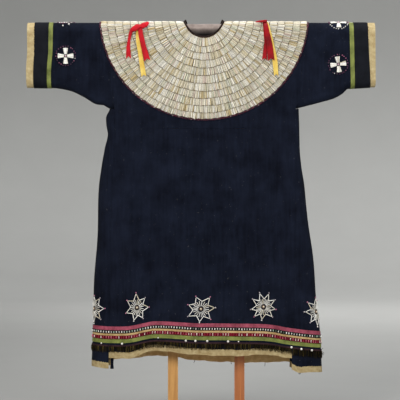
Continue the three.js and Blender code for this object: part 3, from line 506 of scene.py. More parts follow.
def weaveGroup():
    # over and under threads on the cloth's own flat sizes, broken up by nap
    group, source, result = newGroup(
        "threadWeave",
        [("Flat", "vector", None), ("Pitch", "value", 1.0), ("Nap", "value", 0.6)],
        [("Height", "value"), ("Thread", "value")],
    )
    flat, scale = source.outputs["Flat"], mathOf(group, "DIVIDE", 314.0, source.outputs["Pitch"])
    wave = {"Vector": flat, "Scale": scale, "Distortion": 1.2, "Detail": 1.0, "Detail Scale": 0.6}
    warp = addNode(group, "ShaderNodeTexWave", wave, bands_direction="X")
    weft = addNode(group, "ShaderNodeTexWave", wave, bands_direction="Y")
    thread = mathOf(group, "MULTIPLY", warp.outputs["Fac"], weft.outputs["Fac"])
    fibres = noiseOf(group, flat, 900.0, 4.0, 0.7)
    nap = mathOf(group, "MULTIPLY", fibres["Fac"], source.outputs["Nap"])
    group.links.new(mathOf(group, "ADD", thread, nap), result.inputs["Height"])
    group.links.new(thread, result.inputs["Thread"])
    return group


def mottleGroup():
    # a slow change between two colours, with fine grit and a few long streaks
    inputs = [
        ("Place", "vector", None), ("Scale", "value", 14.0), ("Dark", "colour", None),
        ("Light", "colour", None), ("Streaks", "value", 0.3),
    ]
    group, source, result = newGroup("mottle", inputs, [("Color", "colour"), ("Mask", "value")])
    given = source.outputs
    cloud = noiseOf(group, given["Place"], given["Scale"], 6.0, 0.62)
    stretched = addNode(group, "ShaderNodeMapping", {"Vector": given["Place"], "Scale": (1.0, 1.0, 0.06)})
    lines = noiseOf(group, stretched.outputs[0], 130.0, 3.0, 0.6)
    spread = ramped(group, cloud["Fac"], 0.3, 0.7)
    streak = mathOf(group, "MULTIPLY", mathOf(group, "SUBTRACT", lines["Fac"], 0.5), given["Streaks"])
    mask = mathOf(group, "ADD", spread, streak, clamp=True)
    group.links.new(mixOf(group, mask, given["Dark"], given["Light"]), result.inputs["Color"])
    group.links.new(mask, result.inputs["Mask"])
    return group


def speckGroup():
    # small scattered flecks, such as lint, dust or worn spots
    inputs = [("Place", "vector", None), ("Scale", "value", 120.0), ("Size", "value", 0.16)]
    group, source, result = newGroup("flecks", inputs, [("Mask", "value")])
    given = source.outputs
    bent = noiseOf(group, given["Place"], 60.0, 2.0)
    reach = {0: bent["Color"], 1: (0.02, 0.02, 0.02)}
    shifted = addNode(group, "ShaderNodeVectorMath", reach, operation="MULTIPLY")
    both = {0: given["Place"], 1: shifted.outputs[0]}
    place = addNode(group, "ShaderNodeVectorMath", both, operation="ADD")
    cells = addNode(group, "ShaderNodeTexVoronoi", {"Vector": place.outputs[0], "Scale": given["Scale"]})
    fleck = mathOf(group, "LESS_THAN", cells.outputs["Distance"], given["Size"])
    group.links.new(fleck, result.inputs["Mask"])
    return group


weave, mottle, flecks = weaveGroup(), mottleGroup(), speckGroup()


def newFinish(name, roughness, **values):
    material = bpy.data.materials.new(name)
    material.use_nodes = True
    tree = material.node_tree
    shader = tree.nodes["Principled BSDF"]
    shader.inputs["Roughness"].default_value = roughness
    for key, value in values.items():
        shader.inputs[key].default_value = value
    return material, tree, shader


def placeGroup(tree, group, values):
    return addNode(tree, "ShaderNodeGroup", values, node_tree=group).outputs


def mottled(tree, place, scale, dark, light, streaks):
    values = {"Place": place, "Scale": scale, "Dark": dark, "Light": light, "Streaks": streaks}
    return placeGroup(tree, mottle, values)["Color"]


def bumpOf(tree, shader, height, strength, distance):
    bump = addNode(tree, "ShaderNodeBump", {"Strength": strength, "Distance": distance, "Height": height})
    tree.links.new(bump.outputs[0], shader.inputs["Normal"])


def woolFinish(name, selvedge=None, cream=(190, 174, 134), tan=(142, 120, 80)):
    # navy wool with a short nap; its undyed woven edge starts at a ragged line by its width
    look = {"dark": rgb(10, 13, 23), "light": rgb(23, 28, 42), "cream": rgb(*cream), "tan": rgb(*tan)}
    material, tree, shader = newFinish(name, 0.95, **{"Sheen Weight": 0.015, "Specular IOR Level": 0.06})
    place = addNode(tree, "ShaderNodeTexCoord").outputs
    threads = placeGroup(tree, weave, {"Flat": place["UV"], "Pitch": 1.1, "Nap": 1.1})
    cloth = mottled(tree, place["Object"], 13.0, look["dark"], look["light"], 1.1)
    lint = placeGroup(tree, flecks, {"Place": place["Object"], "Scale": 70.0, "Size": 0.07})
    colour = mixOf(tree, mathOf(tree, "MULTIPLY", lint["Mask"], 0.25), cloth, rgb(120, 118, 116))
    if selvedge:
        split = addNode(tree, "ShaderNodeSeparateXYZ", {0: place["UV"]})
        teeth = noiseOf(tree, place["UV"], 260.0, 1.0)
        wander = mathOf(tree, "MULTIPLY", mathOf(tree, "SUBTRACT", teeth["Fac"], 0.5), 0.006)
        fromEdge = mathOf(tree, "ADD", split.outputs["Y"], wander)
        inside = mathOf(tree, "LESS_THAN", fromEdge, selvedge * 0.001)
        edge = mottled(tree, place["UV"], 60.0, look["tan"], look["cream"], 0.5)
        ribs = {"Vector": place["UV"], "Scale": 70.0, "Distortion": 0.6}
        stripe = addNode(tree, "ShaderNodeTexWave", ribs, bands_direction="Y")
        lined = mixOf(tree, mathOf(tree, "MULTIPLY", stripe.outputs["Fac"], 0.25), edge, look["tan"])
        colour = mixOf(tree, inside, colour, lined)
    tree.links.new(colour, shader.inputs["Base Color"])
    bumpOf(tree, shader, threads["Height"], 0.5, 0.0006)
    return material


def ribbonFinish(name, dark, light, roughness=0.5, gloss=0.2):
    # silk ribbon: fine ribs across, faded in patches
    material, tree, shader = newFinish(name, roughness, **{"Specular IOR Level": gloss})
    place = addNode(tree, "ShaderNodeTexCoord").outputs
    fade = mottled(tree, place["Object"], 26.0, rgb(*dark), rgb(*light), 0.6)
    threads = placeGroup(tree, weave, {"Flat": place["UV"], "Pitch": 0.7, "Nap": 0.25})
    shaded = mixOf(tree, mathOf(tree, "MULTIPLY", threads["Thread"], 0.3), fade, rgb(*[c * 0.6 for c in dark]))
    tree.links.new(shaded, shader.inputs["Base Color"])
    bumpOf(tree, shader, threads["Height"], 0.35, 0.0003)
    return material


def tonedFinish(name, roughness, grain, bump, low=0.72, high=1.1, **values):
    # a surface whose colour is the tone stored on its points, broken up by its grain
    material, tree, shader = newFinish(name, roughness, **values)
    place = addNode(tree, "ShaderNodeTexCoord").outputs
    tone = addNode(tree, "ShaderNodeVertexColor", layer_name="tone").outputs["Color"]
    noise = noiseOf(tree, place["Object"], grain, 3.0, 0.6)
    spread = ramped(tree, noise["Fac"], 0.3, 0.7, low, high)
    grey = addNode(tree, "ShaderNodeCombineColor", {0: spread, 1: spread, 2: spread}).outputs[0]
    tree.links.new(mixOf(tree, 1.0, tone, grey, "MULTIPLY"), shader.inputs["Base Color"])
    bumpOf(tree, shader, noise["Fac"], 0.3, bump)
    return material


def woodFinish(name, dark, light):
    # long grain along the height, with fine pores
    material, tree, shader = newFinish(name, 0.55, **{"Coat Weight": 0.12, "Coat Roughness": 0.35})
    place = addNode(tree, "ShaderNodeTexCoord").outputs
    long = addNode(tree, "ShaderNodeMapping", {"Vector": place["Object"], "Scale": (1.0, 1.0, 0.05)}).outputs[0]
    grain = noiseOf(tree, long, 70.0, 6.0, 0.6, 0.6)
    pores = noiseOf(tree, long, 900.0, 2.0)
    base = mixOf(tree, ramped(tree, grain["Fac"], 0.32, 0.68), rgb(*dark), rgb(*light))
    fine = mixOf(tree, mathOf(tree, "MULTIPLY", pores["Fac"], 0.35), base, rgb(*[c * 0.7 for c in dark]))
    tree.links.new(fine, shader.inputs["Base Color"])
    bumpOf(tree, shader, grain["Fac"], 0.2, 0.0006)
    return material


def feltFinish():
    # pressed felt over the padding's upper half; below the rail's middle it darkens to nearly black, painted
    # shade where the hollow under the neck lies in shadow
    material, tree, shader = newFinish("taupeFelt", 1.0, **{"Sheen Weight": 0.1, "Specular IOR Level": 0.1})
    place = addNode(tree, "ShaderNodeTexCoord").outputs
    felt = mottled(tree, place["Object"], 30.0, rgb(112, 100, 94), rgb(156, 143, 136), 0.2)
    fibres = noiseOf(tree, place["Object"], 700.0, 5.0)
    # painted shade: the felt's colour turns nearly black below the rail's middle height
    split = addNode(tree, "ShaderNodeSeparateXYZ", {0: place["Object"]})
    below = ramped(tree, split.outputs["Z"], 1.392, 1.374)
    tree.links.new(mixOf(tree, below, felt, rgb(24, 20, 19)), shader.inputs["Base Color"])
    bumpOf(tree, shader, fibres["Fac"], 0.5, 0.0008)
    return material


finishes = {
    "wool": woolFinish("navyWool"),
    "woolFront": woolFinish("navyWoolFrontHem", 22),
    # painted light: the back hem's selvedge gets paler cream and tan than the front's to lift it out of the
    # shade inside the back
    "woolBack": woolFinish("navyWoolBackHem", 30, (238, 212, 158), (200, 164, 106)),
    "woolGore": woolFinish("navyWoolGoreHem", 21),
    "woolCuff": woolFinish("navyWoolCuff", 25, (204, 188, 146), (160, 138, 96)),
    "woolRoll": woolFinish("navyWoolRolledEdge", 8),
    "ribbonPink": ribbonFinish("pinkRibbon", (100, 34, 48), (178, 84, 104)),
    "ribbonCream": ribbonFinish("creamRibbon", (152, 120, 74), (202, 172, 122)),
    "ribbonGreen": ribbonFinish("greenRibbon", (84, 92, 40), (140, 148, 76)),
    "ribbonDark": ribbonFinish("darkRibbon", (12, 14, 19), (24, 26, 33), 0.7, 0.08),
    "ribbonRed": ribbonFinish("redRibbon", (158, 8, 20), (210, 24, 42), 0.5, 0.12),
    "ribbonRedDeep": ribbonFinish("deepRedRibbon", (104, 4, 10), (170, 10, 22), 0.5, 0.12),
    "ribbonYellow": ribbonFinish("yellowRibbon", (206, 164, 60), (240, 214, 118), 0.5, 0.15),
    "bandDark": ribbonFinish("darkBeadCloth", (12, 13, 14), (30, 30, 32), 0.8, 0.06),
    "bandRed": ribbonFinish("redBeadCloth", (62, 8, 20), (122, 20, 38), 0.8, 0.06),
    "header": ribbonFinish("fringeHeader", (34, 22, 26), (62, 42, 46), 0.85, 0.06),
    "binding": ribbonFinish("brownBinding", (22, 16, 14), (42, 31, 27), 0.75, 0.08),
    "shell": tonedFinish("tuskShell", 0.42, 340.0, 0.0002, **{"Coat Weight": 0.12, "Coat Roughness": 0.3}),
    "beads": tonedFinish("glassBeads", 0.3, 500.0, 0.0001, **{"Coat Weight": 0.2, "Coat Roughness": 0.1}),
    "fringe": tonedFinish("fringeYarn", 1.0, 900.0, 0.0003, **{"Specular IOR Level": 0.05}),
    "thread": tonedFinish("sewingThread", 0.9, 900.0, 0.0002, **{"Specular IOR Level": 0.1}),
    "woodLeft": woodFinish("lightWood", (180, 127, 66), (228, 176, 102)),
    "woodRight": woodFinish("redWood", (154, 88, 44), (202, 126, 70)),
    "woodBase": woodFinish("baseWood", (150, 104, 60), (196, 148, 96)),
    "felt": feltFinish(),
    "sweep": tonedFinish("paleSweep", 0.95, 3.0, 0.0002, 0.985, 1.015, **{"Specular IOR Level": 0.1}),
}
print("finishes ready")

# ---- the stand

stand = {"puff": 0.5, "rounding": 9.0, "taper": 0.75, "along": 240, "round": 48}


def buildStand():
    # the posts and the board keep their solids; the cover is an egg-shaped ring carried along the
    # rail: a circle above, narrowing below, a little uneven, with a sewn seam and rounded ends
    woods = {"stand_post_left": "woodLeft", "stand_post_right": "woodRight", "stand_base": "woodBase"}
    for node, finish in woods.items():
        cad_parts[node].material_slots[0].material = finishes[finish]
    turn = np.linspace(0, 2 * np.pi, stand["round"] + 1)[:-1]
    half = (rail["right"] - rail["left"]) / 2
    t = np.linspace(-1, 1, stand["along"])
    x = half * t
    inset = np.clip((np.abs(x) - (half - stand["rounding"])) / stand["rounding"], 0, 1)
    base = rail["radius"] - 1 - stand["rounding"] * (1 - np.sqrt(np.clip(1 - inset**2, 0, 1)))
    xx, aa = x[:, None], turn[None]
    uneven = 0.6 * np.sin(xx * 0.031 + 1.3 * np.sin(aa * 2)) + stand["puff"] * np.sin(xx * 0.11 + aa * 3) * 0.6
    seam = -1.3 * np.exp(-(((aa - np.pi * 1.5) / 0.06) ** 2))
    radius = base[:, None] + uneven * 0.5 + seam
    centre = (rail["left"] + rail["right"]) / 2
    slim = 1 - stand["taper"] * np.clip(0.4 - np.sin(aa), 0, 1) ** 0.9
    points = np.stack([centre + xx + 0 * aa, radius * slim * np.cos(aa), rail["z"] + radius * np.sin(aa)], -1)
    ends = np.array([[centre - half, 0, rail["z"]], [centre + half, 0, rail["z"]]])
    allPoints = np.concatenate([points.reshape(-1, 3), ends])
    faces = [gridCells(*points.shape[:2]), endCaps(*points.shape[:2])]
    cover = makeMesh("rail_cover", allPoints, faces, finishes["felt"], "padding", sharp=60)
    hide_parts("stand_rail")


buildStand()
print("stand ready")

# ---- the wool

cloth = {
    "panelAcross": 118, "bodiceDown": 62, "skirtDown": 132, "goreRound": 30, "goreDown": 150, "sleeveAlong": 50,
}


def flatGrid(points, fromEdge):
    # flat sizes in metres: across by the run between columns, down by the distance from an edge
    steps = np.linalg.norm(np.diff(points, axis=1), axis=2)
    across = np.concatenate([np.zeros((len(points), 1)), np.cumsum(steps, 1)], 1)
    return np.stack([across, fromEdge], -1) * 0.001


def bodiceGrid(side, out):
    # rows run from the shoulder fold, or round the neck's circle, down to the waist seam
    half = neck["radius"] * neck["narrow"]
    neckTurn = np.sin(np.linspace(-np.pi / 2, np.pi / 2, 31))
    left, right = seamX("left", waistLevel), seamX("right", waistLevel)
    span = right - left
    uNeck = (neck["x"] + half * neckTurn - left) / span
    many = cloth["panelAcross"]
    u = np.concatenate([
        np.linspace(0, uNeck[0], int(many * uNeck[0]), endpoint=False), uNeck,
        np.linspace(uNeck[-1], 1, int(many * (1 - uNeck[-1])))[1:],
    ])
    t = np.linspace(0, 1, cloth["bodiceDown"])
    t = t**1.25
    near = np.clip(1 - ((left + span * u - neck["x"]) / half) ** 2, 0, 1)
    top = np.maximum(neck["radius"] * np.sqrt(near), seamGap / 2)
    end = quarter + rail["z"] - smooth(waist, "x", "z", left + span * u) - seamGap / 2
    s = top[None] + (end - top)[None] * t[:, None]
    straight = left + span * u
    pull = np.clip((s - top[None]) / 90, 0, 1)
    wide = seamAlong("left", s) + (seamAlong("right", s) - seamAlong("left", s)) * u[None]
    centred = np.exp(-(((straight - neck["x"]) / 110) ** 4))[None] * (1 - pull)
    x = wide * (1 - centred) + straight[None] * centred
    signed = s if side == "front" else -s
    return onShoulder(x, signed, out), end[None] - s


def waistZ(w):
    return smooth(waist, "x", "z", bodyPoint(w, waistLevel)[..., 0])


def bandZ(w):
    # height of the first band's upper edge
    x = bodyPoint(w, bandLevel)[..., 0]
    front, back = smooth(bandLine, "x", "front", x), smooth(bandLine, "x", "back", x)
    around = np.mod(w, 4)
    share = np.where(around <= 2, np.clip(around - 1, 0, 1), np.clip(4 - around, 0, 1))
    return front + (back - front) * share


def panelGrid(side, out):
    w = np.linspace(0, 1, cloth["panelAcross"]) + (0 if side == "front" else 2)
    top = waistZ(w) - seamGap / 2
    level, column = (bandLevel, "frontHem") if side == "front" else (backHemLevel, "backHem")
    hem = smooth(bandLine, "x", column, bodyPoint(w, level)[..., 0])
    hem = hem + 1.1 * np.sin(w * 41) + 0.7 * np.sin(w * 97)
    t = np.linspace(0, 1, cloth["skirtDown"])
    z = top[None] + (hem - top)[None] * t[:, None]
    return onBody(np.broadcast_to(w, z.shape), z, out), z - hem[None]


goreHem = {
    "w": [0, 0.083, 0.2, 0.37, 0.5, 0.63, 0.8, 0.92, 1],
    "right": [197.5, 185, 186.5, 184.5, 184, 184, 186, 185, 196],
    "left": [201, 202, 204, 206, 206.5, 206, 204, 201.5, 200.5],
    "top": 1112.6,
}


def goreGrid(side, out):
    first = 1 if side == "right" else 3
    w = np.linspace(0, 1, cloth["goreRound"])
    t = np.linspace(0, 1, cloth["goreDown"])
    hem = smooth(goreHem, "w", side, w)[None]
    top = seamTop + (goreHem["top"] - seamTop) * np.clip(np.sin(np.pi * w) * 3, 0, 1)[None]
    z = top + (hem - top) * t[:, None]
    edge = smooth(sides, "z", side + "Edge", z)
    start = np.arcsin(seamGap / np.abs(edge - seamX(side, z))) / np.pi
    around = first + np.clip(w[None], start, 1 - start)
    return onBody(around, z, out), z - z[-1:]


roundSleeve = np.concatenate([
    np.linspace(0, 1, 15)[:-1], np.linspace(1, 2, 26)[:-1], np.linspace(2, 3, 13),
])
sleeveRing = np.concatenate([-roundSleeve[1:-1][::-1], roundSleeve])


def sleeveGrid(side, out):
    t, v = np.meshgrid(sleeveRing, np.linspace(0, 1, cloth["sleeveAlong"]))
    bare = sleevePoint(side, v, t)
    return onSleeve(side, v, t, out), np.abs(bare[..., 0] - bare[:1, :, 0])


def buildCloth():
    # each panel's grid, finish, flat size and area; the bodice's hem is far from any selvedge
    panels = {
        "bodice_front": (bodiceGrid, "wool", (0.734, 0.379), 0.251),
        "bodice_back": (bodiceGrid, "wool", (0.734, 0.379), 0.251),
        "skirt_front": (panelGrid, "woolFront", (0.66, 0.81), 0.52),
        "skirt_back": (panelGrid, "woolBack", (0.66, 0.85), 0.55),
        "gore_left": (goreGrid, "woolGore", (0.19, 0.912), 0.118),
        "gore_right": (goreGrid, "woolGore", (0.27, 0.926), 0.13),
        "sleeve_left": (sleeveGrid, "woolCuff", (0.31, 0.62), 0.15),
        "sleeve_right": (sleeveGrid, "woolCuff", (0.28, 0.62), 0.13),
    }
    for name, (grid, finish, size, area) in panels.items():
        kind, side = name.split("_")
        ring = kind == "sleeve"
        outer, edge = grid(side, 0.0)
        inner, _ = grid(side, -clothWall)
        shown = closed(outer) if ring else outer
        flat = flatGrid(shown, closed(edge) if ring else edge + 500 * (kind == "bodice"))
        piece = wallMesh(name + "_cloth", outer, inner, flat, finishes[finish], "navy_wool", ring)
        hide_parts(name)
        print(f"{name}: {areaOf(outer):.3f} square metres of cloth")


roll = {"x": -331.0, "y": -37.0, "radius": 6.0, "top": 252.0, "bottom": 199.0, "from": -0.6, "to": 3.9}


def buildRoll():
    # the left gore's front edge below the hem is rolled up: an arc carried down a straight line
    def grid(radius):
        turn, height = np.linspace(roll["from"], roll["to"], 14), np.linspace(roll["top"], roll["bottom"], 16)
        angle, z = np.meshgrid(turn, height)
        size = radius * (1 + 0.1 * np.sin(z / 6.0))
        return np.stack([roll["x"] - size * np.cos(angle), roll["y"] - size * np.sin(angle), z], -1), angle
    outer, angle = grid(roll["radius"])
    inner, _ = grid(roll["radius"] - clothWall)
    flat = flatGrid(outer, (angle - roll["from"]) * roll["radius"])
    piece = wallMesh("gore_left_roll_cloth", outer, inner, flat, finishes["woolRoll"], "navy_wool")


buildCloth()
buildRoll()
print("cloth ready")

# ---- bands, ribbons and fringe round the cloth

hemBands = [  # node, upper and lower edge below the first line, wall, finish, slot
    ("hem_ribbon_pink", 0, 12.8, 0.8, "ribbonPink", "ribbon_pink"),
    ("hem_bead_band_dark", 13.4, 24.4, 1.2, "bandDark", "beads_dark"),
    ("hem_ribbon_cream", 25, 32, 0.8, "ribbonCream", "ribbon_cream"),
    ("hem_bead_band_red", 32.6, 44, 1.2, "bandRed", "beads_red"),
    ("hem_ribbon_green", 44.8, 58, 0.8, "ribbonGreen", "ribbon_green"),
]
hemRound = np.concatenate([np.linspace(k, k + 1, many)[:-1] for k, many in enumerate((150, 40, 150, 40))])


def bandWall(node, place, rows, columns, wall, finish, slot):
    # a closed strip round the garment: rows across its width, columns along it
    along, across = np.meshgrid(columns, rows)
    outer, inner = (place(along, across, out) for out in (trimGap + wall, trimGap))
    shown = closed(outer)
    flat = flatGrid(shown, closed(across))
    piece = wallMesh(node + "_cloth", outer, inner, flat, finishes[finish], slot, ring=True)
    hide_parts(node)


def onBandLine(w, drop, out):
    return onBody(w, bandZ(w) - drop, out)


def buildHemBands():
    for node, top, bottom, wall, finish, slot in hemBands:
        rows = np.linspace(top, bottom, 5)
        bandWall(node, onBandLine, rows, hemRound, wall, finish, slot)


cuffSlope = {"left": (0.0, 0.0), "right": (2.0, -8.0)}  # the dark ribbon's outer edge, top and bottom
cuffBands = [("ribbon_dark", 26, 75, "ribbonDark"), ("ribbon_green", 76, 91, "ribbonGreen")]


def buildCuffBands():
    for side in ("left", "right"):
        for slot, near, far, finish in cuffBands:
            def place(t, distance, out):
                start, end = sleevePoint(side, 0.0, t), sleevePoint(side, 1.0, t)
                top, bottom = cuffSlope[side] if slot == "ribbon_dark" else (0, 0)
                down = np.clip((rail["z"] + foldRadius - start[..., 2]) / 230, 0, 1)
                moved = distance + (top + (bottom - top) * down) * (far - distance) / (far - near)
                return onSleeve(side, moved / np.abs(end[..., 0] - start[..., 0]), t, out)
            rows = np.linspace(near, far, 9 if far - near > 20 else 4)
            bandWall(f"cuff_{side}_{slot}", place, rows, sleeveRing, 0.8, finish, slot)


buildHemBands()
buildCuffBands()
print("bands ready")

random = np.random.default_rng(11)


def beadRow(name, centres, normals, sizes, choices, slot):
    tones = pick(random, len(centres), choices)
    tonedPiece(name, [turned(centres, normals, sizes, ball, tones)], "beads", slot, 80)


def evenRound(drop, gap):
    # places w round the skirt at even distances along the line at that drop
    w = np.linspace(0, 4, 1601)[:-1]
    points = onBandLine(w, drop, 0)
    steps = np.linalg.norm(np.diff(np.concatenate([points, points[:1]]), axis=0), axis=1)
    run = np.concatenate([[0], np.cumsum(steps)])
    count = int(run[-1] / gap)
    return np.interp(np.arange(count) * run[-1] / count, run, np.append(w, 4.0))


hemBeads = {
    "dark": {"drop": 19, "gap": 9.4, "size": 1.95, "pair": 2.8},
    "darkEdge": {"drop": 14.8, "gap": 3.0, "size": 0.9, "pair": 0},
    "red": {"drop": 38, "gap": 9.2, "size": 2.0, "pair": 4.2},
    "redEdge": {"drop": 43, "gap": 3.0, "size": 0.95, "pair": 0},
}
pale = (246, 243, 234)


def buildHemBeads():
    # short upright stitches of two beads on the bands, with a finer line along one edge of each
    mixes = {
        "dark": [(0.78, pale), (0.12, (186, 206, 184)), (0.1, (90, 104, 88))],
        "darkEdge": [(0.7, (26, 24, 32)), (0.2, (60, 44, 54)), (0.1, (70, 84, 66))],
        "red": [(0.34, (236, 214, 206)), (0.36, (212, 112, 128)), (0.3, (150, 26, 48))],
        "redEdge": [(0.6, (92, 14, 30)), (0.2, (140, 44, 62)), (0.2, (50, 24, 28))],
    }
    for label, look in hemBeads.items():
        w = evenRound(look["drop"], look["gap"])
        shift = random.normal(0, 0.3, len(w))
        tones = pick(random, len(w), mixes[label])
        size = look["size"] * random.uniform(0.85, 1.1, len(w))
        parts = []
        for step in ((-0.5, 0.5) if look["pair"] else (0,)):
            drop = look["drop"] + shift + step * look["pair"]
            centre = onBandLine(w, drop, trimGap + 1.2 + size * 0.6)
            parts.append(turned(centre, bodyNormal(w, bandZ(w) - drop), size, ball, tones, 6))
        slot = "beads_dark" if label.startswith("dark") else "beads_red"
        tonedPiece(f"hem_beads_{label}", parts, "beads", slot, 80)


largeBeads = {
    "size": 4.3,
    "front": [
        (-293, 60, 1), (-168, 57, 0.6), (-71, 62, 1), (-38, 61, 1), (3, 61, 1), (76, 62, 1), (112, 62, 0.6),
    ],
    "round": [(0.995, 66, 1), (1.1, 68, 1), (1.23, 69, 1), (1.7, 64, 0.7), (3.3, 62, 1), (3.86, 60, 0.6)],
    "back": [
        (-250, 62, 1), (-170, 62, 0.6), (-96, 62, 1), (-28, 62, 1), (64, 62, 1), (150, 62, 0.6), (232, 62, 1),
    ],
}


def buildLargeBeads():
    # round white beads on the bare strip between the last ribbon and the fringe
    left, right = seamX("left", 300.0), seamX("right", 300.0)
    beads = [((x - left) / (right - left), *rest) for x, *rest in largeBeads["front"]] + largeBeads["round"]
    beads += [(2 + (right - x) / (right - left), *rest) for x, *rest in largeBeads["back"]]
    w, drop, share = np.array(beads, float).T
    size = share * largeBeads["size"]
    centres, normals = onBandLine(w, drop, size * 0.8 + 0.5), bodyNormal(w, bandZ(w) - drop)
    beadRow("hem_beads_large", centres, normals, size, [(1, (240, 236, 228))], "beads_dark")


fringe = {"top": 64.5, "root": 69.5, "tuft": 5.3, "yarns": 5, "long": 21.0, "wall": 1.4}
yarnMix = [(0.5, (20, 17, 10)), (0.3, (44, 36, 17)), (0.15, (66, 56, 28)), (0.05, (98, 84, 44))]


def buildFringe():
    # a woven header, then tufts of five yarns that hang from it as tapering quills
    spans = [("skirt_front", 0, 1), ("gore_right", 1, 2), ("skirt_back", 2, 3), ("gore_left", 3, 4)]
    tufts = evenRound(fringe["root"], fringe["tuft"])
    apart = np.linspace(-0.32, 0.32, fringe["yarns"]) + random.normal(0, 0.1, (len(tufts), fringe["yarns"]))
    allRound = np.sort((tufts[:, None] + apart * 4 / len(tufts)).ravel())
    for node, first, last in spans:
        inside, many = (0.001, 150) if node.startswith("skirt") else (0.006, 40)
        rows = np.linspace(fringe["top"], fringe["root"] + 1, 4)
        along, across = np.meshgrid(np.linspace(first + inside, last - inside, many), rows)
        outer, inner = (onBandLine(along, across, out) for out in (trimGap + fringe["wall"], trimGap))
        flat = flatGrid(outer, across)
        header = wallMesh(f"fringe_header_{node}", outer, inner, flat, finishes["header"], "fringe")
        roots = allRound[(allRound > first + inside) & (allRound < last - inside)]
        count = len(roots)
        lean = random.normal(0, 0.0035, count)
        out = trimGap + random.uniform(0.2, 1.6, count)
        long = fringe["long"] * random.uniform(0.74, 1.12, count) * (1.2 if node == "gore_right" else 1)
        start = onBandLine(roots, fringe["root"], out)
        tips = np.clip(roots + lean, first + inside, last - inside)
        end = onBandLine(tips, fringe["root"] + long, out + random.uniform(-0.2, 1.6, count))
        normal = bodyNormal(roots, bandZ(roots) - 80)
        tones = pick(random, count, yarnMix)
        yarns = quills(start, end, normal, 1.6, 1.0, random.normal(0, 0.8, count), tones, 3, 4)
        strands = tonedPiece(f"fringe_yarns_{node}", [yarns], "fringe", "fringe", node="fringe_" + node)


looseThreads = {  # x, y, z of each root, then of its end
    "gore_right": [
        (402, -8, 262, 413, -12, 268), (403, -6, 258, 416, -10, 252), (402, -10, 255, 414, -16, 244),
        (403, -4, 250, 417, -4, 247), (398, -18, 252, 408, -26, 240), (327, -33, 187, 324, -35, 180),
        (328, -33, 187, 328, -35, 178), (329, -33, 187, 332, -35, 181), (326, -33, 188, 329, -35, 180),
    ],
    "skirt_back": [(213, 86, 213, 211, 86, 193), (-40, 86, 216, -44, 87, 204), (88, 86, 211, 92, 87, 200)],
}


def buildLooseThreads():
    # frayed ends at the hem, each a thin quill from its root
    for node, rows in looseThreads.items():
        rows = np.array(rows, float)
        count = len(rows)
        normal = np.tile([[0.0, -1.0, 0.1]], (count, 1))
        tones = pick(random, count, [(0.6, (30, 22, 14)), (0.4, (70, 52, 34))])
        parts = [quills(rows[:, :3], rows[:, 3:], normal, 1.9, 1.2, 1.5, tones, 4, 5)]
        tonedPiece(f"threads_{node}", parts, "thread", "fringe")


buildHemBeads()
buildLargeBeads()
buildFringe()
buildLooseThreads()
print("hem ready")

# ---- the neck and the shell yoke

binding = {"inner": 71.0, "outer": 78.0, "gap": 0.9, "crown": 2.0, "stitch": 78.2, "lift": 17.0}


def neckPoint(angle, r, out):
    return onShoulder(ringX(r, angle), r * np.cos(angle), out)


def buildNeck():
    # a rounded brown binding round the neck that stands up a little behind both shoulders, with a
    # row of tan stitches beside it
    angle = np.linspace(0, 2 * np.pi, 181)[:-1]
    radius = np.linspace(binding["inner"], binding["outer"], 7)
    aa, rr = np.meshgrid(angle, radius)
    crown = binding["crown"] * np.sin(np.linspace(0.25, np.pi - 0.25, 7))[:, None]
    crown = crown + 0.2 * np.sin(angle * 60)[None]
    behind = np.minimum(np.abs(angle - np.pi * 0.61), np.abs(angle - np.pi * 1.39))
    stands = binding["lift"] * np.exp(-((behind / 0.33) ** 2))[None] * np.linspace(1, 0.45, 7)[:, None]
    upright = stands[..., None] * np.array([0.0, 0.0, 1.0])
    outer = neckPoint(aa, rr, binding["gap"] + 0.6 + crown) + upright
    inner = neckPoint(aa, rr, binding["gap"]) + upright
    flat = flatGrid(closed(outer), closed(rr))
    piece = wallMesh("neck_binding_cloth", outer, inner, flat, finishes["binding"], "binding", ring=True)
    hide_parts("neck_binding")
    count = 110
    middle = np.linspace(0, 2 * np.pi, count, endpoint=False)
    start, end = (neckPoint(middle + step, binding["stitch"], 2.4) for step in (0, 0.04))
    normal = unitOf(neckPoint(middle, binding["stitch"], 3.4) - start)
    tones = pick(random, count, [(1, (150, 122, 92))])
    tonedPiece("neck_stitches", [quills(start, end, normal, 1, 1, 0.3, tones, 5, 4)], "thread", "binding")


yoke = {
    "pitch": 3.85, "wide": 3.4, "narrow": 2.75, "sink": 2.3, "rise": 3.4, "bow": 1.1,
    "bundle": 27.0, "scallop": 1.8,
}


def yokePlace(side, r, turn, out):
    s = np.maximum(r * np.cos(turn), 0.6)
    return onShoulder(ringX(r, turn), s if side == "front" else -s, out)


def rowLine(k, turn):
    # the sewn lines between rows wander a little, and pull in where threads were knotted
    size = 1.0 if 0 < k < len(yokeLines) - 1 else 0.5
    wander = 0.7 * np.sin(turn * (6 + k) + k * 1.9) + 0.3 * np.sin(turn * (19 + 2 * k) + k)
    return yokeLines[k] + size * wander


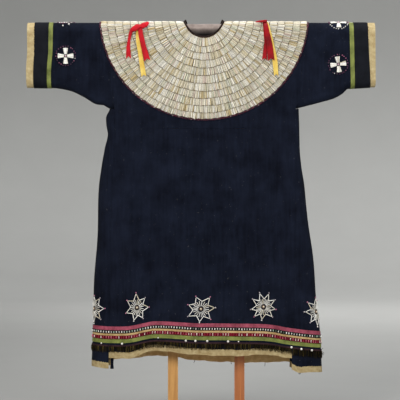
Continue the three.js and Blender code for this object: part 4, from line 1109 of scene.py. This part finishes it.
def buildYoke(side):
    # rows of tusk shells laid along spokes from the neck: each row is a ring of quills with its
    # wide ends outwards, which lie on the next row's narrow ends
    parts, made = [], 0
    mix = np.array([linear(*c) for c in (
        (224, 203, 186), (212, 210, 184), (230, 221, 198), (242, 237, 224), (216, 203, 170), (202, 180, 128),
    )])
    limits = np.array([-2.0, -1.3, -0.1, 0.7, 1.9])
    for k in range(len(yokeLines) - 1):
        middle = (yokeLines[k] + yokeLines[k + 1]) / 2
        count = int(np.pi * middle * 0.985 / yoke["pitch"])
        turn = (np.arange(count) + 0.5) / count * np.pi - np.pi / 2
        turn = turn + random.normal(0, 0.22, count) / middle
        near = rowLine(k, turn) + 0.2 + random.normal(0, 0.16, count)
        bundle = turn * middle / yoke["bundle"] + k * 0.37  # shells strung together hang as one
        scallop = yoke["scallop"] * (np.abs(np.sin(np.pi * bundle)) - 0.6)
        far = rowLine(k + 1, turn) + 0.5 + scallop + random.normal(0, 0.4, count)
        slant = random.normal(0, 0.45, count) / middle
        lift = random.normal(0, 0.16, count)
        start = yokePlace(side, near, turn, yoke["sink"] + lift)
        end = yokePlace(side, far, turn + slant, yoke["rise"] + lift)
        centre = yokePlace(side, (near + far) / 2, turn, 2.0)
        normal = unitOf(yokePlace(side, (near + far) / 2, turn, 3.0) - centre)
        bow = yoke["bow"] + random.normal(0, 0.2, count)
        patch = 0.7 * np.sin(turn * (11 + k) + k * 2.1) + 0.6 * np.sin(turn * (27 - k) + k * 4.7)
        patch = patch + random.normal(0, 1.0, count)
        tones = mix[(patch[None] > limits[:, None]).sum(0)] * random.uniform(0.8, 1.05, (count, 1))
        tones = tones * (1 + 0.06 * np.sin(np.floor(bundle) * 2.4 + k))[:, None]
        share = np.array([yokeLines[k], yokeLines[k + 1]]) / middle
        slim = yoke["narrow"] * share[0] * random.uniform(0.95, 1.04, count)
        thick = yoke["wide"] * share[1] * random.uniform(0.95, 1.03, count)
        parts.append(quills(start, end, normal, slim, thick, bow, tones))
        made += count
    tonedPiece(f"yoke_{side}_tusk_shells", parts, "shell", "shell", 70, f"yoke_shells_{side}")
    return made


def buildYokeThreads(side):
    # olive cords laid round the neck between the rows, each a circle carried along an arc
    parts, turn = [], np.linspace(-np.pi / 2 + 0.004, np.pi / 2 - 0.004, 161)
    for k in range(1, len(yokeLines) - 1):
        r = rowLine(k, turn) + 1.2
        line, above = (yokePlace(side, r, turn, out) for out in (3.3, 4.3))
        tones = pick(random, 160, [(0.6, (120, 106, 78)), (0.4, (96, 84, 60))])
        ahead = line[1:] + (line[1:] - line[:-1]) * 0.08
        parts.append(quills(line[:-1], ahead, unitOf(above - line)[:-1], 2.3, 2.3, 0, tones, 5, 2))
    tonedPiece(f"yoke_{side}_threads", parts, "thread", "binding")


def buildYokeEdge(side):
    # two close rows of small beads and sequins under the last row of shells
    turn = np.linspace(-np.pi / 2 + 0.004, np.pi / 2 - 0.004, 370)
    choices = [
        (0.46, (92, 20, 42)), (0.3, (58, 24, 48)), (0.12, (132, 52, 74)), (0.08, (36, 28, 38)),
        (0.04, (226, 218, 214)),
    ]
    for label, radius, size in (("inner", 364.8, 1.7), ("outer", 367.6, 1.45)):
        r = radius + random.normal(0, 0.4, len(turn))
        out = 1.5 + random.uniform(-0.2, 0.5, len(turn))
        centre = yokePlace(side, r, turn, out)
        normal = unitOf(yokePlace(side, r, turn, out + 1) - centre)
        sizes = size * random.uniform(0.8, 1.1, len(turn))
        beadRow(f"yoke_{side}_beads_{label}", centre, normal, sizes, choices, "beads_dark")


buildNeck()
for side in ("front", "back"):
    print(f"yoke {side}: {buildYoke(side)} shells")
    buildYokeThreads(side)
    buildYokeEdge(side)

# ---- stars and crosses of shells

stars = [
    {"name": "star_front_left", "w": 0.15, "z": 415, "points": 7, "turn": 0.18, "squeeze": 0.8},
    {"name": "star_front_middle", "w": 0.494, "z": 411, "points": 7, "turn": 0.3},
    {"name": "star_front_right", "w": 0.831, "z": 417.5, "points": 9, "turn": 0.3, "squeeze": 0.93},
    {"name": "star_side_right", "w": 1.36, "z": 397, "points": 8, "turn": 0},
    {"name": "star_back_right", "w": 2.17, "z": 400, "points": 8, "turn": 0.3},
    {"name": "star_back_middle", "w": 2.5, "z": 402, "points": 8, "turn": 0.1},
    {"name": "star_back_left", "w": 2.83, "z": 405, "points": 8, "turn": 0.2},
    {"name": "star_side_left", "w": 3.64, "z": 408.5, "points": 8, "turn": 0},
]
starSizes = {"tip": 46.5, "valley": 27.0, "quill": 2.8, "inner": 2.1, "button": 5.6}
crosses = [
    {"name": "cross_front_left", "x": -494, "s": 140.5, "turn": 0},
    {"name": "cross_front_right", "x": 464, "s": 170, "turn": 0.14},
    {"name": "cross_shoulder_left", "x": -498, "s": -15, "turn": 0.05},
    {"name": "cross_shoulder_right", "x": 466, "s": 13, "turn": 0},
    {"name": "cross_back_left", "x": -494, "s": -150, "turn": 0},
    {"name": "cross_back_right", "x": 466, "s": -150, "turn": 0.1},
]
shellMix = [(0.5, (244, 240, 228)), (0.42, (252, 250, 244)), (0.08, (222, 212, 188))]


def roundPlace(place, reach, angle, out):
    # points given by distance and angle on a flat round motif, and the normals there
    p, q = reach * np.cos(angle), reach * np.sin(angle)
    points = place(p, q, out)
    return points, unitOf(place(p, q, out + 1.0) - points)


def quillLines(place, fromR, fromA, toR, toA, out, wide, narrow, bow):
    start, normal = roundPlace(place, fromR, fromA, out)
    end, _ = roundPlace(place, toR, toA, out)
    return quills(start, end, normal, wide, narrow, bow, pick(random, len(start), shellMix))


def motifPlace(where):
    # a round motif's flat plane laid on the skirt or on a sleeve
    if "w" in where:
        base = int(where["w"])
        left = bodyPoint(float(base), float(where["z"]))
        right = bodyPoint(base + 0.999, float(where["z"]))
        swell = abs(bodyPoint(base + 0.5, float(where["z"]))[0] - left[0])
        width = abs(right[0] - left[0]) if base in (0, 2) else np.pi * math.sqrt((swell**2 + left[1] ** 2) / 2)
        squeeze = where.get("squeeze", 1.0)  # narrower where it lies across a fold
        return lambda p, q, out: onBody(where["w"] + p * squeeze / width, where["z"] + q, out)
    c, n = math.cos(where["turn"]), math.sin(where["turn"])
    sign = 1 if where["s"] < -quarter else -1
    return lambda p, q, out: onShoulder(where["x"] + p * c - q * n, where["s"] + sign * (p * n + q * c), out)


def buildStars():
    for star in stars:
        place, points = motifPlace(star), star["points"]
        spread = random.normal(0, 0.05, points)
        tip = 2 * np.pi * np.arange(points) / points + np.pi / 2 + star["turn"] + spread
        reach = starSizes["tip"] * random.uniform(0.92, 1.06, points)
        after = np.roll(tip, -1) + np.where(np.arange(points) == points - 1, 2 * np.pi, 0)
        valley = (tip + after) / 2
        before = np.roll(valley, 1) - np.where(np.arange(points) == 0, 2 * np.pi, 0)
        low, quill, fine = starSizes["valley"], starSizes["quill"], starSizes["inner"]
        half = 0.34 * 2 * np.pi / points
        thin = (2.0, fine * 0.75, fine, 0.3)
        parts = [
            quillLines(place, low, valley, reach - 1, tip + 0.012, 2.4, quill, quill * 0.75, 0.5),
            quillLines(place, low, before, reach - 1, tip - 0.012, 2.4, quill, quill * 0.75, 0.5),
            quillLines(place, 10, valley, low - 1.2, valley, *thin),
            quillLines(place, 10, tip - half * 0.46, 28, tip - half * 0.54, *thin),
            quillLines(place, 10, tip + half * 0.46, 28, tip + half * 0.54, *thin),
        ]
        middle, normal = roundPlace(place, 0, np.zeros(1), 0.8)
        parts.append(turned(middle, normal, starSizes["button"], button, linear(120, 94, 72)[None], 20))
        parts.append(turned(middle + normal * 2.8, normal, 2.9, ball, linear(236, 226, 200)[None], 14))
        tips, _ = roundPlace(place, reach + 3.2, tip, 2.2)
        ends = pick(random, points, [(0.5, (190, 120, 150)), (0.3, (176, 164, 172)), (0.2, (232, 222, 226))])
        ends[np.argmin(np.sin(tip))] = linear(244, 238, 234)
        parts.append(turned(tips, np.repeat(normal, points, 0), 2.4, ball, ends))
        tonedPiece(star["name"] + "_tusk_shells", parts, "shell", "shell", 70, star["name"])


crossSizes = {
    "inner": 5.5, "root": 3.7, "outer": 27.8, "spread": 7.2, "quill": 3.8,
    "ring": 34.0, "beads": 24, "bead": 2.2,
}
ringMix = [(0.4, (104, 52, 84)), (0.32, (74, 36, 62)), (0.16, (150, 84, 112)), (0.12, (230, 222, 220))]


def buildCrosses():
    # four arms of five quills that fan outwards, inside a ring of beads
    for cross in crosses:
        place = motifPlace(cross)
        arm = np.repeat(np.arange(4) * np.pi / 2, 5)
        step = np.tile(np.linspace(-1, 1, 5), 4)
        near = np.hypot(crossSizes["inner"], step * crossSizes["root"])
        nearAngle = arm + np.arctan2(step * crossSizes["root"], crossSizes["inner"])
        far = np.hypot(crossSizes["outer"], step * crossSizes["spread"]) - 0.8 * np.abs(step)
        farAngle = arm + np.arctan2(step * crossSizes["spread"], crossSizes["outer"])
        parts = [quillLines(place, near, nearAngle, far, farAngle, 2.3, 1.9, crossSizes["quill"], 0.4)]
        count = crossSizes["beads"]
        ring = np.arange(count) * 2 * np.pi / count + random.normal(0, 0.03, count)
        reach = crossSizes["ring"] + random.normal(0, 0.5, count)
        centres, normals = roundPlace(place, reach, ring, 1.9)
        tones = pick(random, count, ringMix)
        if cross["name"] == "cross_shoulder_right":
            tones[np.sin(ring) < -0.3] = linear(234, 230, 222)
        sizes = crossSizes["bead"] * random.uniform(0.85, 1.1, count)
        parts.append(turned(centres, normals, sizes, ball, tones))
        middle, normal = roundPlace(place, 0, np.zeros(1), 2.4)
        parts.append(turned(middle, normal, 3.2, ball, linear(216, 180, 190)[None], 12))
        tonedPiece(cross["name"] + "_tusk_shells", parts, "shell", "shell", 70, cross["name"])


def buildShoulderBeads():
    # two larger white beads beside the left shoulder's medallion
    x, s = np.array([-503.6, -483.0]), np.array([34.0, 27.0])
    centre = onShoulder(x, s, 2.6)
    normal = unitOf(onShoulder(x, s, 3.6) - centre)
    beadRow("shoulder_beads", centre, normal, np.array([3.0, 3.6]), [(1, (246, 242, 234))], "beads_dark")


buildStars()
buildCrosses()
buildShoulderBeads()
print("stars and crosses ready")

# ---- ribbon ties

ties = [
    {"node": "tie_left_red_long", "out": 0.0, "finish": "ribbonRed", "slot": "ribbon_red",
     "x": [-236, -262, -270, -273, -272], "s": [36, 54, 84, 116, 153], "width": [13, 12, 10, 14, 18]},
    {"node": "tie_left_yellow", "out": 2.2, "finish": "ribbonYellow", "slot": "ribbon_yellow",
     "x": [-240, -239, -233, -225, -218], "s": [40, 80, 124, 172, 216], "width": [10, 15, 14, 16, 17]},
    {"node": "tie_left_red_short", "out": 4.4, "finish": "ribbonRed", "slot": "ribbon_red",
     "x": [-234, -230, -223, -215, -206], "s": [36, 62, 94, 127, 160], "width": [12, 17, 17, 19, 21]},
    {"node": "tie_right_red_long", "out": 0.0, "finish": "ribbonRedDeep", "slot": "ribbon_red",
     "x": [204, 208, 210, 206, 203], "s": [24, 60, 92, 124, 158], "width": [12, 14, 14, 14, 16]},
    {"node": "tie_right_yellow", "out": 2.2, "finish": "ribbonYellow", "slot": "ribbon_yellow",
     "x": [211, 223, 232, 240, 245], "s": [25, 66, 108, 158, 214], "width": [10, 12, 13, 18, 15]},
    {"node": "tie_right_red_short", "out": 4.4, "finish": "ribbonRedDeep", "slot": "ribbon_red",
     "x": [206, 214, 220, 224, 227], "s": [24, 60, 92, 124, 160], "width": [12, 16, 19, 22, 24]},
]
knots = [
    {"node": "knot_left", "x": -232, "s": 43, "long": 31.0, "high": 9.0, "deep": 5.0, "tilt": 0.28, "pinch": 0.5,
     "taper": 0.0, "finish": "ribbonRed"},
    {"node": "knot_right", "x": 193, "s": 27, "long": 21.0, "high": 6.0, "deep": 4.6, "tilt": 0.1, "pinch": 0.0,
     "taper": 0.6, "finish": "ribbonRedDeep"},
]
tieLift, knotLift = 7.4, 14.5  # from the cloth to the lowest ribbon and to a knot's middle


def buildTies():
    # each tail is a strip carried down a curve over the shells, gently rippled, cut to a swallow tail
    for tie in ties:
        row = {"t": np.linspace(0, 1, len(tie["x"])), "x": tie["x"], "s": tie["s"], "width": tie["width"]}
        t = np.linspace(0, 1, 46)[:, None]
        across = np.linspace(-1, 1, 9)[None]
        length = float(tie["s"][-1] - tie["s"][0])
        notch = 1 - (1 - np.abs(across)) * 8.0 / length
        along = t * notch
        ahead, behind = np.minimum(along + 0.01, 1), np.maximum(along - 0.01, 0)
        x, s = smooth(row, "t", "x", along), smooth(row, "t", "s", along)
        dx, ds = (smooth(row, "t", column, ahead) - smooth(row, "t", column, behind) for column in "xs")
        size = np.hypot(dx, ds)
        half = smooth(row, "t", "width", along) / 2 * across
        ripple = 0.8 * np.sin(s / 13.0 + 0.4) * np.clip((s - 50) / 60, 0, 1)
        curl = 0.35 * np.sin(across * 2.6 + s / 21.0) * t
        x2, s2 = x + ds / size * half, s - dx / size * half
        outer, inner = (onShoulder(x2, s2, tieLift + tie["out"] + ripple + curl + lift) for lift in (0.5, 0.0))
        flat = flatGrid(outer, np.broadcast_to(along * length, x2.shape))
        piece = wallMesh(tie["node"] + "_ribbon", outer, inner, flat, finishes[tie["finish"]], tie["slot"])
        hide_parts(tie["node"])
        size = (max(tie["width"]) * 0.001, round(length * 0.00104, 3))


def buildKnots():
    # a long ball laid along x, pinched in the middle into a bow or drawn thin at one end, with
    # folds that run round it aslant
    for knot in knots:
        turn, rise = np.linspace(0, 2 * np.pi, 41)[:-1], np.linspace(0.04, np.pi - 0.04, 34)
        a, b = np.broadcast_to(turn, (34, 40)), np.broadcast_to(rise[:, None], (34, 40))
        fold = 1 + 0.1 * np.sin(3 * a + 4 * b) + 0.05 * np.sin(7 * a - 9 * b)
        waistPull = 1 - knot["pinch"] * np.exp(-(((b - np.pi / 2) / 0.22) ** 2))
        waistPull = waistPull * (1 - knot["taper"] * (1 + np.cos(b)) / 2)
        long = -np.cos(b) * knot["long"]
        offset = np.sin(b) ** 0.6 * fold * waistPull
        s = knot["s"] + offset * np.sin(a) * knot["high"] - long * math.tan(knot["tilt"])
        points = onShoulder(knot["x"] + long, s, knotLift + offset * np.cos(a) * knot["deep"])
        far = np.array([-1.0, 1.0]) * knot["long"]
        ends = onShoulder(knot["x"] + far, knot["s"] - far * math.tan(knot["tilt"]), knotLift)
        allPoints = np.concatenate([points.reshape(-1, 3), ends])
        name, faces = knot["node"] + "_ribbon", [gridCells(34, 40), endCaps(34, 40)]
        piece = makeMesh(name, allPoints, faces, finishes[knot["finish"]], "ribbon_red", sharp=60)
        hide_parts(knot["node"])


buildTies()
buildKnots()
print("ties ready")

# ---- room, lights and camera

# the sweep's painted shading: near, far and top are its tones at the middle, along the floor and up the wall,
# and left is how much a painted shadow darkens the floor on the left
room = {
    "radius": 9.5, "bend": 3.2, "wall": 9.0, "near": 0.36, "far": 0.6, "top": 0.38, "left": 0.18,
    "floorFade": (3.0, 7.0), "wallFade": (0.3, 2.9), "leftFade": (4.0, 8.5), "tint": (1.0, 1.0, 0.965),
}


def ease(value, limits):
    # an even S curve from 0 to 1 between two limits
    t = np.clip((value - limits[0]) / (limits[1] - limits[0]), 0, 1)
    return t * t * (3 - 2 * t)


def buildRoom():
    # a round studio sweep: a flat floor that bends up into a wall, turned about the middle; its
    # tone carries painted shade and light: darker near the middle, lighter further along the floor,
    # darker again up the wall, and a painted shadow makes the floor a little darker on the left
    flat = np.stack([np.linspace(0, room["radius"] - room["bend"], 30), np.zeros(30)], -1)
    angle = np.linspace(0, np.pi / 2, 41)[1:]
    start, size = room["radius"] - room["bend"], room["bend"]
    bend = np.stack([start + size * np.sin(angle), size * (1 - np.cos(angle))], -1)
    up = np.stack([np.full(5, room["radius"]), np.linspace(size, room["wall"], 6)[1:]], -1)
    profile = np.concatenate([flat, bend, up])[1:] * 1000
    turn = np.linspace(0, 2 * np.pi, 97)[:-1]
    reach, rise = profile[:, :1], profile[:, 1:]
    points = np.stack([reach * np.cos(turn), reach * np.sin(turn), rise + 0 * turn - 0.5], -1)
    away, height = reach / 1000, rise / 1000
    paintedShading = room["near"] + (room["far"] - room["near"]) * ease(away, room["floorFade"])
    paintedShading = paintedShading + (room["top"] - paintedShading) * ease(height, room["wallFade"])
    # painted shadow: the floor darkens towards the left, most near the middle
    leftShadow = np.clip((300 - points[..., 0]) / 1600, 0, 1)
    paintedShading = paintedShading * (1 - room["left"] * (1 - ease(away, room["leftFade"])) * leftShadow)
    tone = np.concatenate([paintedShading.ravel(), [room["near"]]])[:, None] * np.array([room["tint"]])
    rows, columns = points.shape[:2]
    k = np.arange(columns)
    middle = np.stack([np.full(columns, rows * columns), k, (k + 1) % columns], -1)
    faces = [gridCells(rows, columns)[:, ::-1], middle]
    allPoints = np.concatenate([points.reshape(-1, 3), [[0, 0, -0.5]]])
    sweep = makeMesh("studio_sweep", allPoints, faces, finishes["sweep"], tone=tone, sharp=80, turnOut=False)


lights = [  # name, place, aim, size, power, colour
    ("key", (-2.6, -4.6, 3.4), (0, 0, 0.8), 2.6, 210, (1.0, 0.985, 0.96)),
    ("fill", (3.2, -4.2, 2.2), (0, 0, 0.8), 2.8, 120, (0.97, 0.985, 1.0)),
    ("top", (0.2, -0.6, 5.2), (0, 0, 0.8), 3.4, 150, (1.0, 1.0, 1.0)),
    ("rear", (0.5, 5.0, 3.6), (0, 0, 0.8), 3.0, 90, (1.0, 1.0, 1.0)),
    ("wall", (2.4, 3.4, 4.6), (1.2, 9.0, 1.2), 2.4, 120, (1.0, 1.0, 1.0)),
]


def buildLights():
    for name, place, aim, size, power, colour in lights:
        data = bpy.data.lights.new(name, "AREA")
        data.shape, data.size, data.energy, data.color = "DISK", size, power, colour
        light = bpy.data.objects.new(name, data)
        light.location = place
        x, y, z = np.array(aim) - np.array(place)
        light.rotation_euler = (math.atan2(math.hypot(x, y), -z), 0, math.atan2(y, x) - math.pi / 2)
        light.visible_camera = False
        bpy.context.scene.collection.objects.link(light)
    world = bpy.data.worlds.new("softWorld")
    world.use_nodes = True
    world.node_tree.nodes["Background"].inputs["Color"].default_value = (0.92, 0.95, 1.0, 1)
    world.node_tree.nodes["Background"].inputs["Strength"].default_value = 0.35
    bpy.context.scene.world = world
    bpy.context.scene.view_settings.view_transform = "Standard"


view = {"place": (-0.0219, -5.05, 0.7907), "lens": 128.57, "sensor": 36.0}


def buildCamera():
    data = bpy.data.cameras.new("camera")
    data.lens, data.sensor_width, data.clip_end = view["lens"], view["sensor"], 80.0
    camera = bpy.data.objects.new("camera", data)
    camera.location = view["place"]
    camera.rotation_euler = (math.pi / 2, 0, 0)
    bpy.context.scene.collection.objects.link(camera)
    bpy.context.scene.camera = camera


buildRoom()
buildLights()
buildCamera()
print("room, lights and camera ready")
